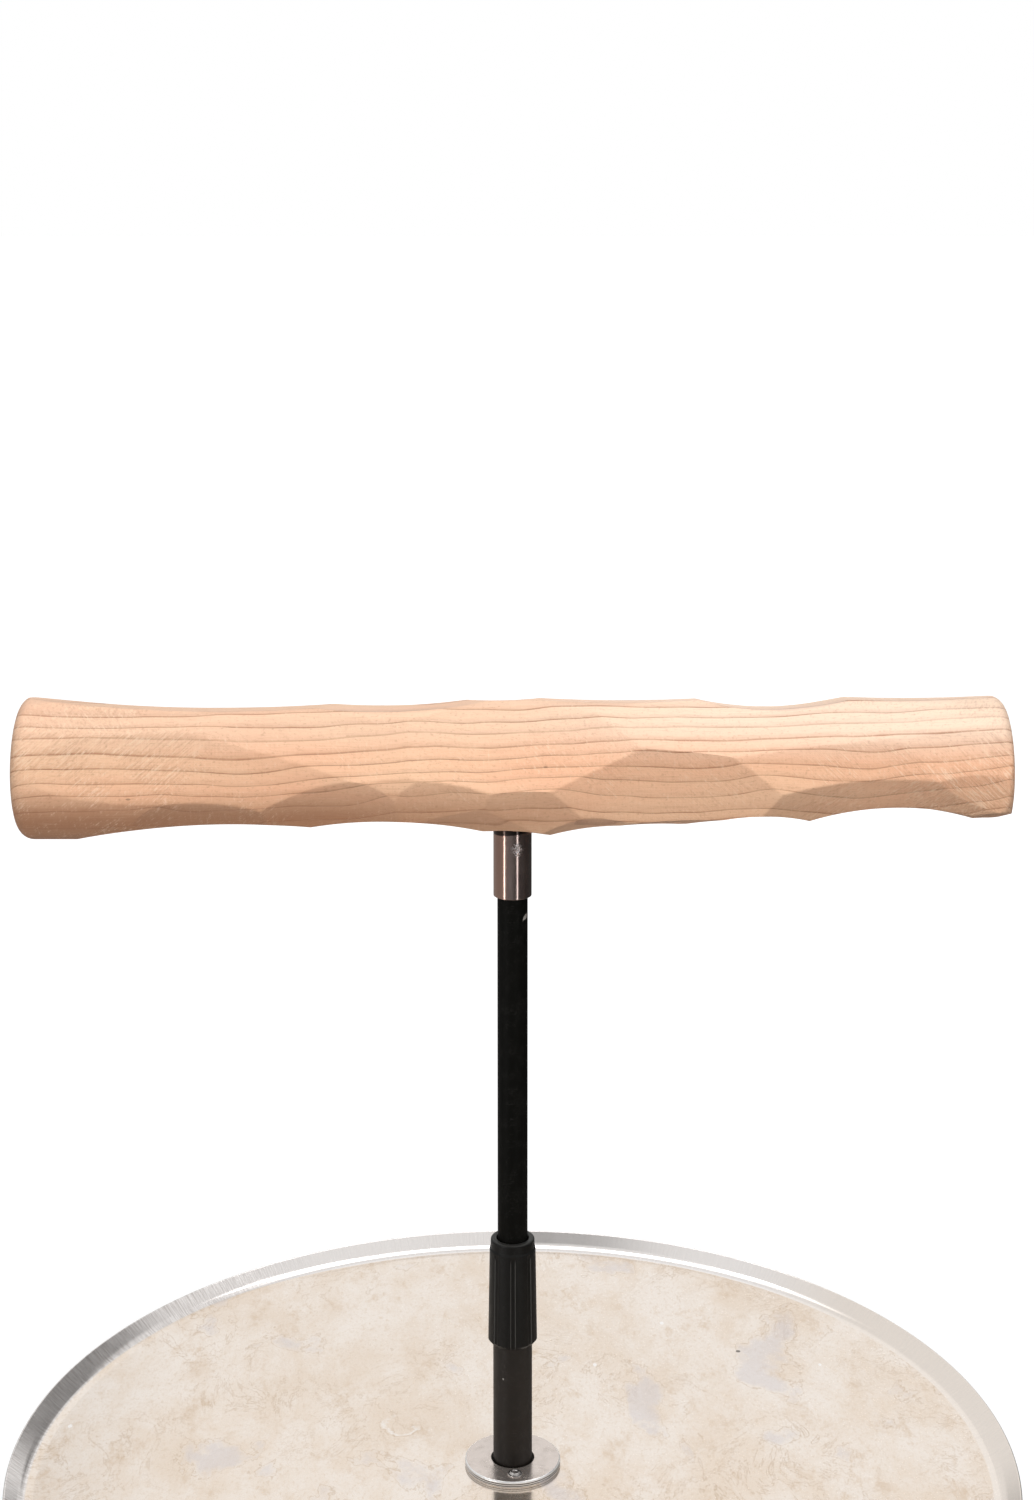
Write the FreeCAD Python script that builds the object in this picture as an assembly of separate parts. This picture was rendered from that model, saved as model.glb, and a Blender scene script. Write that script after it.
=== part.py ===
# Bird perch stand.
# A hand-carved timber perch bar sits across the top of a two-stage steel pole. A twist lock on
# the lower tube grips the upper tube, so the bar can be raised, lowered and turned. The pole is
# screwed to a round cast-iron base, and a round aluminium tray lies on the base around the pole.
# The riveted disc in the middle of the tray stiffens the hole that the pole comes up through.
#
# Millimetres. The origin is on the floor, under the middle of the pole. +Z is up, +X runs along
# the perch bar and -Y is the front.
import FreeCAD
import Part
import math
import os

Vector = FreeCAD.Vector
Z_AXIS = Vector(0, 0, 1)
X_AXIS = Vector(1, 0, 0)
ORIGIN = Vector(0, 0, 0)

# Fits shared by several pieces
point_tolerance = 0.000001
press_gap = 0.05        # between a plug and the tube it is pressed into
thread_gap = 0.10       # between a screw and its nut or tapped hole
slide_gap = 0.10        # between parts that slide or turn on each other
clear_gap = 0.50        # where a part passes another without touching
cut_overrun = 5.0       # how far cutting tools run past the work

# Foot pads under the base
pad_radius = 11.0
pad_height = 5.0
pad_sink = 2.0          # depth of the seat in the casting
pad_count = 6
pad_circle_radius = 133.0
pad_edge = 0.8

# Cast-iron base
base_radius = 152.4
base_thickness = 14.0
base_web = 7.0
base_rim_width = 13.0
base_hub_radius = 37.0
base_boss_radius = 15.5   # raised seat that the pole stands on
base_pocket_radius = 29.0
base_pocket_depth = 6.0   # ring-shaped hollow for the rivet tails under the tray
base_edge_round = 3.5
base_inner_round = 2.0
base_rib_width = 7.0
base_boss_wall = 3.0      # iron left around each pad seat

# Pole screw, from below
screw_radius = 6.0
screw_head_radius = 12.0
screw_head_height = 6.0
screw_grip = 20.0         # length in the tube's threaded insert
screw_socket_radius = 4.6
screw_socket_depth = 3.5
screw_recess = 0.5        # the head lies this far inside the casting
screw_edge = 0.8
screw_washer_height = 1.4
screw_washer_radius = 10.0
screw_washer_split = 1.2

# Tray
tray_floor_radius = 311.0
tray_sheet = 1.6
tray_wall_height = 9.5
tray_wall_angle = 39.0    # degrees above the floor
tray_corner_round = 2.5
tray_lip_round = 0.7

# Stiffening disc and its blind rivets
disc_radius = 30.8
disc_thickness = 4.0
disc_edge_round = 1.1
disc_foot_round = 0.5
pole_hole_gap = 1.4       # open ring around the pole, seen as a black line
rivet_count = 2
rivet_circle_radius = 21.0
rivet_first_angle = -86.0
rivet_body_radius = 2.4
rivet_head_radius = 4.7
rivet_head_height = 1.9
rivet_rim_height = 0.5
rivet_tail_radius = 3.3
rivet_tail_length = 3.4
rivet_tail_round = 0.5
rivet_dome_round = 2.4
mandrel_radius = 1.4
mandrel_head_radius = 2.3
mandrel_head_height = 1.3
mandrel_head_round = 0.5
mandrel_recess = 1.6      # the broken end lies below the rivet's top

# Lower tube
lower_tube_radius = 12.5
lower_tube_wall = 1.5
lower_tube_length = 131.0
insert_length = 22.0

# Twist lock
lock_skirt_length = 12.0
lock_shoulder_height = 2.5
lock_shoulder_step = 0.15
lock_thread_radius = 11.75
lock_thread_length = 14.0
lock_cone_depth = 12.0
collet_thickness_low = 0.75
collet_thickness_high = 1.35
collet_rise = 1.5         # stands above the lock body
collet_slot_width = 1.2
collet_slot_count = 4
collet_solid_foot = 3.0
thrust_ring_height = 1.6
thrust_gap = 0.3

# Twist lock collar
collar_length = 69.8
collar_top_radius = 13.95
collar_rib_start_radius = 14.15
collar_foot_radius = 15.8
collar_band = 6.0         # plain band over the ribs
collar_rib_ramp = 1.2
collar_groove_ramp = 5.0
collar_rib_height = 0.6     # ribs stand this far out from the band and the grooves
collar_groove_angle = 10.0
collar_groove_count = 8
collar_groove_first_angle = 1.0
collar_top_round = 1.3
collar_foot_chamfer_height = 2.2
collar_foot_chamfer_step = 1.8
collar_lip_round = 0.7
collar_hole_gap = 0.65    # around the upper tube
collar_skirt_gap = 0.50   # around the shoulder of the lock body
collar_top_web = 4.9

# Upper tube
upper_tube_radius = 9.525
upper_tube_wall = 1.2
pole_extension = 226.0    # length of upper tube showing at rest
upper_tube_overlap = 41.0   # from the top of the lower tube down to the end of the upper one
bead_height = 2.0
bead_step = 0.75
glide_length = 12.0
end_plug_length = 10.0
end_plug_flange = 2.0
end_plug_flange_step = 0.5

# Ferrule and the fasteners inside it
ferrule_radius = 12.0
ferrule_length = 49.1
ferrule_web = 5.0
ferrule_edge = 0.5        # rounded rims
ferrule_bore_gap = 0.15
ferrule_seat_gap = 0.30   # round the ferrule in the bar
ferrule_sink = 11.5       # into the perch bar, below its widest stock line
stake_radius = 1.6        # dimple that locks the ferrule
stake_depth = 0.35
stake_height_share = 0.86  # of the way up the part that shows
stake_angle = -75.0
bolt_radius = 4.0
bolt_wood_length = 42.0
bolt_point_length = 6.0
bolt_edge = 0.5
bolt_thread_grip = 20.0   # length in the upper tube's threaded insert
nut_across_flats = 13.0
nut_height = 6.5
nut_to_tube_gap = 0.5
top_insert_length = 25.0
insert_groove_depth = 0.4
insert_groove_width = 1.5
insert_groove_shares = (0.3, 0.7)   # of the way up a pressed-in plug

# Perch bar
perch_length = 609.6
perch_stock_radius = 44.45
perch_end_round = 9.0

# Carved scallops along the bar. Columns: place along the bar as a share of its length from
# its middle, direction round the bar in degrees (0 front, 90 top, 180 back, -90 underneath),
# length as a share of the bar's length, depth as a share of the stock's radius, and turn of
# the cut in degrees.
scallop_shares = (
    (-0.362, 13, 0.250, 0.130, -4),
    (-0.270, -1, 0.225, 0.175, 12),
    (-0.185, 34, 0.260, 0.130, 0),
    (-0.305, -42, 0.150, 0.150, -4),
    (-0.185, -30, 0.150, 0.185, -2),
    (-0.068, -24, 0.105, 0.120, -6),
    (-0.040, -46, 0.130, 0.130, 12),
    (0.014, -32, 0.120, 0.110, 4),
    (0.000, 31, 0.255, 0.240, -5),
    (0.153, -12, 0.240, 0.205, 4),
    (0.087, -62, 0.120, 0.160, 0),
    (0.235, 52, 0.320, 0.140, 0),
    (0.325, 12, 0.230, 0.110, 4),
    (0.368, -32, 0.240, 0.250, 8),
    (0.372, 66, 0.105, 0.060, 10),
    (0.450, 20, 0.160, 0.080, 0),
    (0.455, -10, 0.090, 0.100, -14),
    (-0.400, 60, 0.200, 0.070, 6),
    (-0.277, -76, 0.330, 0.215, 0),
    (-0.128, -76, 0.262, 0.254, 0),
    (-0.012, -74, 0.140, 0.115, 0),
    (0.127, -78, 0.212, 0.213, 0),
    (0.190, -72, 0.310, 0.240, 0),
    (0.251, -78, 0.200, 0.351, 0),
    (0.389, -76, 0.277, 0.444, 0),
    (0.497, -72, 0.220, 0.330, 0),
    (-0.300, 100, 0.420, 0.200, 0),
    (-0.135, 98, 0.250, 0.185, 4),
    (-0.020, 102, 0.140, 0.075, 0),
    (0.110, 100, 0.260, 0.085, -4),
    (0.262, 99, 0.175, 0.185, 5),
    (0.400, 98, 0.200, 0.060, -4),
    (-0.400, 150, 0.240, 0.110, 8),
    (-0.230, 172, 0.260, 0.140, -8),
    (-0.050, 152, 0.240, 0.110, 6),
    (0.110, 176, 0.270, 0.130, -7),
    (0.300, 158, 0.250, 0.150, 8),
    (0.430, 184, 0.200, 0.110, -6),
    (-0.360, 212, 0.250, 0.130, 6),
    (-0.140, 218, 0.260, 0.150, -6),
    (0.060, 214, 0.210, 0.100, 8),
    (0.240, 222, 0.260, 0.170, -5),
    (0.420, 226, 0.180, 0.210, 6),
)

# Heights and radii that follow from the sizes above
base_underside_z = pad_height - pad_sink
base_top_z = base_underside_z + base_thickness
pocket_floor_z = base_top_z - base_pocket_depth
tray_floor_z = base_top_z + tray_sheet
screw_head_z = base_underside_z + screw_recess
screw_washer_z = screw_head_z + screw_head_height
screw_seat_z = screw_washer_z + screw_washer_height
disc_top_z = tray_floor_z + disc_thickness
pole_hole_radius = lower_tube_radius + pole_hole_gap
lower_tube_bore = lower_tube_radius - lower_tube_wall
lower_tube_top_z = base_top_z + lower_tube_length
lock_bore = upper_tube_radius + slide_gap
lock_shoulder_top_z = lower_tube_top_z + lock_shoulder_height
lock_thread_top_z = lock_shoulder_top_z + lock_thread_length
lock_cone_foot_z = lock_thread_top_z - lock_cone_depth
collet_top_z = lock_thread_top_z + collet_rise
thrust_ring_z = collet_top_z + thrust_gap
collar_web_z = thrust_ring_z + thrust_ring_height
collar_top_z = collar_web_z + collar_top_web
collar_foot_z = collar_top_z - collar_length
upper_tube_bore = upper_tube_radius - upper_tube_wall
upper_tube_foot_z = lower_tube_top_z - upper_tube_overlap
ferrule_foot_z = collar_top_z + pole_extension
ferrule_top_z = ferrule_foot_z + ferrule_length
ferrule_web_z = ferrule_top_z - ferrule_web
ferrule_bore = upper_tube_radius + ferrule_bore_gap
nut_foot_z = ferrule_web_z - nut_height
upper_tube_top_z = nut_foot_z - nut_to_tube_gap
perch_axis_z = ferrule_top_z - ferrule_sink + perch_stock_radius


def half_plane_wire(points, rounds):
    """Closed wire in the XZ plane through (radius, height) points, with each corner rounded."""
    corners = [Vector(r, 0, z) for r, z in points]
    count = len(corners)
    starts = []
    ends = []
    arcs = []
    for i, corner in enumerate(corners):
        radius = rounds.get(i, 0)
        if not radius:
            starts.append(corner)
            ends.append(corner)
            arcs.append(None)
            continue
        back = (corners[i - 1] - corner).normalize()
        ahead = (corners[(i + 1) % count] - corner).normalize()
        half_turn = back.getAngle(ahead) / 2
        reach = radius / math.tan(half_turn)
        bisector = (back + ahead).normalize()
        middle = corner + bisector * (radius / math.sin(half_turn) - radius)
        starts.append(corner + back * reach)
        ends.append(corner + ahead * reach)
        arcs.append(Part.Arc(starts[-1], middle, ends[-1]).toShape())
    edges = []
    for i in range(count):
        if arcs[i]:
            edges.append(arcs[i])
        start = ends[i]
        end = starts[(i + 1) % count]
        if start.distanceToPoint(end) > point_tolerance:
            edges.append(Part.LineSegment(start, end).toShape())
    return Part.Wire(edges)


def turned(points, rounds=None, angle=360):
    """Solid of revolution about the pole's axis from (radius, height) points."""
    face = Part.Face(half_plane_wire(points, rounds or {}))
    return face.revolve(ORIGIN, Z_AXIS, angle)


def rod(radius, foot_z, top_z, x=0, y=0):
    """Upright cylinder between two heights."""
    return Part.makeCylinder(radius, top_z - foot_z, Vector(x, y, foot_z))


def sleeve(outer, inner, foot_z, top_z):
    """Plain tube between two heights."""
    return turned(((inner, foot_z), (outer, foot_z), (outer, top_z), (inner, top_z)))


def around(shape, count, first_angle=0):
    """Copies of a shape spaced evenly round the pole's axis."""
    copies = []
    for i in range(count):
        copy = shape.copy()
        copy.rotate(ORIGIN, Z_AXIS, first_angle + i * 360 / count)
        copies.append(copy)
    return copies


def at_circle(shape, radius, count, first_angle=0):
    """Copies of a shape made on the pole's axis, moved out to a circle and spaced round it."""
    moved = shape.copy()
    moved.translate(Vector(radius, 0, 0))
    return around(moved, count, first_angle)


def hexagon(across_flats, foot_z, top_z):
    """Upright six-sided bar."""
    corner_radius = across_flats / math.sqrt(3)
    corners = []
    for i in range(7):
        angle = math.radians(60 * i)
        corners.append(Vector(corner_radius * math.cos(angle), corner_radius * math.sin(angle), foot_z))
    return Part.Face(Part.makePolygon(corners)).extrude(Vector(0, 0, top_z - foot_z))


def base_pads():
    """Rubber pads pressed into seats under the rim of the base."""
    pad = turned(
        ((0, 0), (pad_radius, 0), (pad_radius, pad_height), (0, pad_height)),
        {1: pad_edge},
    )
    return at_circle(pad, pad_circle_radius, pad_count)


def base_underside_ribs():
    """Ribs and pad bosses that join the hub to the rim on the hollow underside."""
    pieces = []
    rib = Part.makeBox(
        pad_circle_radius, base_rib_width, base_thickness - base_web,
        Vector(0, -base_rib_width / 2, base_underside_z),
    )
    boss = rod(pad_radius + base_boss_wall, base_underside_z, base_top_z - base_web)
    pieces += around(rib, pad_count)
    pieces += at_circle(boss, pad_circle_radius, pad_count)
    return pieces


def base_casting():
    """Round iron foot: a plate with a deep rim, a hub and ribs underneath."""
    web_underside_z = base_top_z - base_web
    body = turned(
        (
            (0, base_underside_z),
            (base_radius, base_underside_z),
            (base_radius, base_top_z),
            (0, base_top_z),
        ),
        {1: base_inner_round, 2: base_edge_round},
    )
    rim_inner = base_radius - base_rim_width
    hollow = turned(
        (
            (base_hub_radius, base_underside_z - cut_overrun),
            (rim_inner, base_underside_z - cut_overrun),
            (rim_inner, web_underside_z),
            (base_hub_radius, web_underside_z),
        ),
        {2: base_inner_round, 3: base_inner_round},
    )
    envelope = rod(base_radius - base_edge_round, base_underside_z, base_top_z)
    ribs = [rib.common(envelope) for rib in base_underside_ribs()]
    body = body.cut(hollow).fuse(ribs).removeSplitter()
    pocket = sleeve(base_pocket_radius, base_boss_radius, pocket_floor_z, base_top_z + cut_overrun)
    seat = rod(pad_radius + press_gap, base_underside_z - cut_overrun, base_underside_z + pad_sink)
    cuts = [pocket]
    cuts += at_circle(seat, pad_circle_radius, pad_count)
    cuts.append(rod(screw_radius + clear_gap, base_underside_z, base_top_z + cut_overrun))
    cuts.append(rod(screw_head_radius + clear_gap, base_underside_z - cut_overrun, screw_seat_z))
    return body.cut(cuts)


def pole_screw():
    """Socket-head screw that pulls the pole down on the base."""
    screw_top_z = base_top_z + screw_grip
    body = turned(
        (
            (0, screw_head_z),
            (screw_head_radius, screw_head_z),
            (screw_head_radius, screw_washer_z),
            (screw_radius, screw_washer_z),
            (screw_radius, screw_top_z),
            (0, screw_top_z),
        ),
        {1: screw_edge, 4: screw_edge},
    )
    socket = hexagon(2 * screw_socket_radius, screw_head_z - cut_overrun, screw_head_z + screw_socket_depth)
    return body.cut(socket)


def screw_washer():
    """Split spring washer under the head of the pole screw."""
    ring = sleeve(screw_washer_radius, screw_radius + clear_gap, screw_washer_z, screw_seat_z)
    gap = Part.makeBox(
        screw_washer_radius + cut_overrun, screw_washer_split, screw_washer_height,
        Vector(0, -screw_washer_split / 2, screw_washer_z),
    )
    return ring.cut(gap)


def rivet_holes(foot_z, top_z):
    """Holes for the rivets."""
    hole = rod(rivet_body_radius + press_gap, foot_z - cut_overrun, top_z + cut_overrun)
    return at_circle(hole, rivet_circle_radius, rivet_count, rivet_first_angle)


def tray():
    """Spun round tray: flat floor, short flared wall and a rounded lip."""
    angle = math.radians(tray_wall_angle)
    flare = tray_wall_height / math.tan(angle)
    lip_inner_radius = tray_floor_radius + flare
    lip_inner_z = tray_floor_z + tray_wall_height
    lip_outer_radius = lip_inner_radius + tray_sheet * math.sin(angle)
    lip_outer_z = lip_inner_z - tray_sheet * math.cos(angle)
    under_corner_radius = tray_floor_radius + tray_sheet * math.tan(angle / 2)
    body = turned(
        (
            (pole_hole_radius, base_top_z),
            (under_corner_radius, base_top_z),
            (lip_outer_radius, lip_outer_z),
            (lip_inner_radius, lip_inner_z),
            (tray_floor_radius, tray_floor_z),
            (pole_hole_radius, tray_floor_z),
        ),
        {1: tray_corner_round + tray_sheet, 2: tray_lip_round, 3: tray_lip_round, 4: tray_corner_round},
    )
    return body.cut(rivet_holes(base_top_z, tray_floor_z))


def pole_disc():
    """Turned disc that stiffens the tray's floor round the pole."""
    body = turned(
        (
            (pole_hole_radius, tray_floor_z),
            (disc_radius, tray_floor_z),
            (disc_radius, disc_top_z),
            (pole_hole_radius, disc_top_z),
        ),
        {1: disc_foot_round, 2: disc_edge_round},
    )
    return body.cut(rivet_holes(tray_floor_z, disc_top_z))


def disc_rivets():
    """Blind rivets: domed head on the disc, tail spread under the tray."""
    bore = mandrel_radius + press_gap
    tail_z = base_top_z - rivet_tail_length
    rim_z = disc_top_z + rivet_rim_height
    head_z = disc_top_z + rivet_head_height
    rivet = turned(
        (
            (bore, tail_z),
            (rivet_tail_radius, tail_z),
            (rivet_tail_radius, base_top_z),
            (rivet_body_radius, base_top_z),
            (rivet_body_radius, disc_top_z),
            (rivet_head_radius, disc_top_z),
            (rivet_head_radius, rim_z),
            (rivet_tail_radius, head_z),
            (bore, head_z),
        ),
        {1: rivet_tail_round, 7: rivet_dome_round},
    )
    return at_circle(rivet, rivet_circle_radius, rivet_count, rivet_first_angle)


def rivet_mandrels():
    """Broken steel stems left inside the rivets."""
    tail_z = base_top_z - rivet_tail_length
    head_z = tail_z - mandrel_head_height
    stem_top_z = disc_top_z + rivet_head_height - mandrel_recess
    stem = turned(
        (
            (0, head_z),
            (mandrel_head_radius, head_z),
            (mandrel_head_radius, tail_z),
            (mandrel_radius, tail_z),
            (mandrel_radius, stem_top_z),
            (0, stem_top_z),
        ),
        {1: mandrel_head_round},
    )
    return at_circle(stem, rivet_circle_radius, rivet_count, rivet_first_angle)


def lower_tube():
    """Outer steel tube, standing on the boss of the base."""
    return sleeve(lower_tube_radius, lower_tube_bore, base_top_z, lower_tube_top_z)


def threaded_plug(outer, bore, foot_z, top_z):
    """Pressed-in plug with a tapped hole and two grooves that the tube is rolled into."""
    plug = sleeve(outer, bore, foot_z, top_z)
    length = top_z - foot_z
    for share in insert_groove_shares:
        groove_z = foot_z + share * length - insert_groove_width / 2
        groove_top_z = groove_z + insert_groove_width
        ring = sleeve(outer + cut_overrun, outer - insert_groove_depth, groove_z, groove_top_z)
        plug = plug.cut(ring)
    return plug


def tube_foot_insert():
    """Tapped plug in the foot of the lower tube, which takes the pole screw."""
    return threaded_plug(
        lower_tube_bore - press_gap, screw_radius + thread_gap, base_top_z, base_top_z + insert_length
    )


def lock_body():
    """Threaded brass sleeve on the lower tube's top, with an inside cone for the collet."""
    skirt_foot_z = lower_tube_top_z - lock_skirt_length
    skirt_radius = lower_tube_bore - press_gap
    shoulder_radius = lower_tube_radius + lock_shoulder_step
    cone_low = lock_bore + collet_thickness_low + press_gap
    cone_high = lock_bore + collet_thickness_high + press_gap
    return turned(
        (
            (lock_bore, skirt_foot_z),
            (skirt_radius, skirt_foot_z),
            (skirt_radius, lower_tube_top_z),
            (shoulder_radius, lower_tube_top_z),
            (shoulder_radius, lock_shoulder_top_z),
            (lock_thread_radius, lock_shoulder_top_z),
            (lock_thread_radius, lock_thread_top_z),
            (cone_high, lock_thread_top_z),
            (cone_low, lock_cone_foot_z),
            (lock_bore, lock_cone_foot_z),
        )
    )


def lock_collet():
    """Tapered sleeve split into fingers, squeezed on the upper tube by the cone."""
    slope = (collet_thickness_high - collet_thickness_low) / lock_cone_depth
    top_radius = lock_bore + collet_thickness_high + slope * collet_rise
    foot_radius = lock_bore + collet_thickness_low
    body = turned(
        (
            (lock_bore, lock_cone_foot_z),
            (foot_radius, lock_cone_foot_z),
            (top_radius, collet_top_z),
            (lock_bore, collet_top_z),
        )
    )
    slot_foot_z = lock_cone_foot_z + collet_solid_foot
    slot = Part.makeBox(
        top_radius + cut_overrun, collet_slot_width, collet_top_z - slot_foot_z + cut_overrun,
        Vector(0, -collet_slot_width / 2, slot_foot_z),
    )
    return body.cut(around(slot, collet_slot_count))


def thrust_ring():
    """Steel ring between the collet and the top of the collar."""
    outer = lock_thread_radius - slide_gap
    return sleeve(outer, upper_tube_radius + collar_hole_gap, thrust_ring_z, collar_web_z)


def collar_radius_at(z):
    """Radius over the tapered collar's ribs at a height."""
    start_z = collar_top_z - collar_band
    start_radius = collar_rib_start_radius + collar_rib_height
    run = (start_z - z) / (start_z - collar_foot_z)
    return start_radius + run * (collar_foot_radius - start_radius)


def collar_blank():
    """Tapered collar without its grooves: web on top, threaded bore, wide skirt."""
    hole = upper_tube_radius + collar_hole_gap
    thread_bore = lock_thread_radius + thread_gap
    skirt_bore = lower_tube_radius + lock_shoulder_step + collar_skirt_gap
    thread_foot_z = lock_shoulder_top_z + collar_skirt_gap
    chamfer_z = collar_foot_z + collar_foot_chamfer_height
    rib_top_z = collar_top_z - collar_band - collar_rib_ramp
    return turned(
        (
            (skirt_bore, collar_foot_z),
            (collar_foot_radius - collar_foot_chamfer_step, collar_foot_z),
            (collar_radius_at(chamfer_z), chamfer_z),
            (collar_radius_at(rib_top_z), rib_top_z),
            (collar_rib_start_radius, collar_top_z - collar_band),
            (collar_top_radius, collar_top_z),
            (hole, collar_top_z),
            (hole, collar_web_z),
            (thread_bore, collar_web_z),
            (thread_bore, thread_foot_z),
            (skirt_bore, thread_foot_z),
        ),
        {5: collar_top_round, 6: collar_lip_round},
    )


def collar_groove():
    """One lengthwise finger groove, running out towards the top."""
    reach = collar_foot_radius + cut_overrun
    top_z = collar_top_z - collar_band
    floor_top_z = top_z - collar_groove_ramp
    foot_z = collar_foot_z - cut_overrun
    tool = turned(
        (
            (collar_radius_at(foot_z) - collar_rib_height, foot_z),
            (reach, foot_z),
            (reach, top_z),
            (collar_radius_at(floor_top_z) - collar_rib_height, floor_top_z),
        ),
        angle=collar_groove_angle,
    )
    tool.rotate(ORIGIN, Z_AXIS, -collar_groove_angle / 2)
    return tool


def lock_collar():
    """Grooved grip that is screwed down on the lock body to close the collet."""
    grooves = around(collar_groove(), collar_groove_count, -90 + collar_groove_first_angle)
    return collar_blank().cut(grooves)


def upper_tube():
    """Inner steel tube, with a rolled bead that the glide bears against."""
    bead_foot_z = upper_tube_foot_z + glide_length
    bead_middle_z = bead_foot_z + bead_height / 2
    bead_top_z = bead_foot_z + bead_height
    return turned(
        (
            (upper_tube_bore, upper_tube_foot_z),
            (upper_tube_radius, upper_tube_foot_z),
            (upper_tube_radius, bead_foot_z),
            (upper_tube_radius + bead_step, bead_middle_z),
            (upper_tube_radius, bead_top_z),
            (upper_tube_radius, upper_tube_top_z),
            (upper_tube_bore, upper_tube_top_z),
        )
    )


def tube_glide():
    """Plastic bush on the upper tube's foot that runs in the lower tube."""
    return sleeve(
        lower_tube_bore - slide_gap, upper_tube_radius + slide_gap,
        upper_tube_foot_z + slide_gap, upper_tube_foot_z + glide_length - slide_gap,
    )


def end_plug():
    """Plug in the upper tube's foot, with a flange that keeps the glide on."""
    flange_radius = upper_tube_radius + end_plug_flange_step
    flange_z = upper_tube_foot_z - end_plug_flange
    plug_radius = upper_tube_bore - press_gap
    plug_top_z = upper_tube_foot_z + end_plug_length
    return turned(
        (
            (0, flange_z),
            (flange_radius, flange_z),
            (flange_radius, upper_tube_foot_z),
            (plug_radius, upper_tube_foot_z),
            (plug_radius, plug_top_z),
            (0, plug_top_z),
        )
    )


def tube_top_insert():
    """Tapped plug in the upper tube's top, which takes the hanger bolt."""
    return threaded_plug(
        upper_tube_bore - press_gap, bolt_radius + thread_gap,
        upper_tube_top_z - top_insert_length, upper_tube_top_z,
    )


def perch_ferrule():
    """Stainless cup over the pole's top, sunk into the bar and staked to the tube."""
    body = turned(
        (
            (ferrule_bore, ferrule_foot_z),
            (ferrule_radius, ferrule_foot_z),
            (ferrule_radius, ferrule_top_z),
            (bolt_radius + thread_gap, ferrule_top_z),
            (bolt_radius + thread_gap, ferrule_web_z),
            (ferrule_bore, ferrule_web_z),
        ),
        {1: ferrule_edge, 2: ferrule_edge},
    )
    stake_z = ferrule_foot_z + (perch_axis_z - perch_stock_radius - ferrule_foot_z) * stake_height_share
    reach = ferrule_radius + stake_radius - stake_depth
    dimple = Part.makeSphere(stake_radius, Vector(reach, 0, stake_z))
    dimple.rotate(ORIGIN, Z_AXIS, stake_angle)
    return body.cut(dimple)


def hanger_bolt():
    """Double-ended bolt: wood thread up into the bar, machine thread down into the tube."""
    foot_z = upper_tube_top_z - bolt_thread_grip
    top_z = ferrule_top_z + bolt_wood_length
    return turned(
        (
            (0, foot_z),
            (bolt_radius, foot_z),
            (bolt_radius, top_z - bolt_point_length),
            (0, top_z),
        ),
        {1: bolt_edge},
    )


def ferrule_nut():
    """Nut that draws the ferrule up against the bar."""
    hole = rod(bolt_radius + thread_gap, nut_foot_z - cut_overrun, ferrule_web_z + cut_overrun)
    return hexagon(nut_across_flats, nut_foot_z, ferrule_web_z).cut(hole)


def scallop_tool(place_share, direction, length_share, depth_share, turn):
    """Drum-shaped cutter that leaves one long carved facet on the bar."""
    depth = depth_share * perch_stock_radius
    half_length = length_share * perch_length / 2
    drum_radius = (half_length ** 2 + depth ** 2) / (2 * depth)
    angle = math.radians(direction)
    outward = Vector(0, -math.cos(angle), math.sin(angle))
    across = X_AXIS.cross(outward)
    centre = Vector(place_share * perch_length, 0, perch_axis_z)
    centre += outward * (perch_stock_radius - depth + drum_radius)
    width = 4 * perch_stock_radius
    tool = Part.makeCylinder(drum_radius, width, centre - across * (width / 2), across)
    tool.rotate(centre, outward, turn)
    return tool


def perch_bar():
    """Hand-carved timber bar, bored underneath for the ferrule and the bolt."""
    end = perch_length / 2
    bar = turned(
        ((0, -end), (perch_stock_radius, -end), (perch_stock_radius, end), (0, end)),
        {1: perch_end_round, 2: perch_end_round},
    )
    bar.rotate(ORIGIN, Vector(0, 1, 0), 90)
    bar.translate(Vector(0, 0, perch_axis_z))
    for scallop in scallop_shares:
        bar = bar.cut(scallop_tool(*scallop))
    bolt_top_z = ferrule_top_z + bolt_wood_length
    seat = rod(ferrule_radius + ferrule_seat_gap, ferrule_foot_z, ferrule_top_z)
    pilot = rod(bolt_radius + press_gap, ferrule_foot_z, bolt_top_z + clear_gap)
    return bar.cut([seat, pilot])


def save(name, pieces):
    """Write the closed solids of one piece, or one group of like pieces, to its own file."""
    group = pieces if isinstance(pieces, list) else [pieces]
    solids = []
    for shape in group:
        solids += shape.Solids
    result = solids[0] if len(solids) == 1 else Part.makeCompound(solids)
    result.exportStep("parts/" + name + ".step")


os.makedirs("parts", exist_ok=True)
for make in (
    base_pads,
    base_casting,
    pole_screw,
    screw_washer,
    tray,
    pole_disc,
    disc_rivets,
    rivet_mandrels,
    lower_tube,
    tube_foot_insert,
    lock_body,
    lock_collet,
    thrust_ring,
    lock_collar,
    upper_tube,
    tube_glide,
    end_plug,
    tube_top_insert,
    perch_ferrule,
    hanger_bolt,
    ferrule_nut,
    perch_bar,
):
    save(make.__name__, make())
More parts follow.
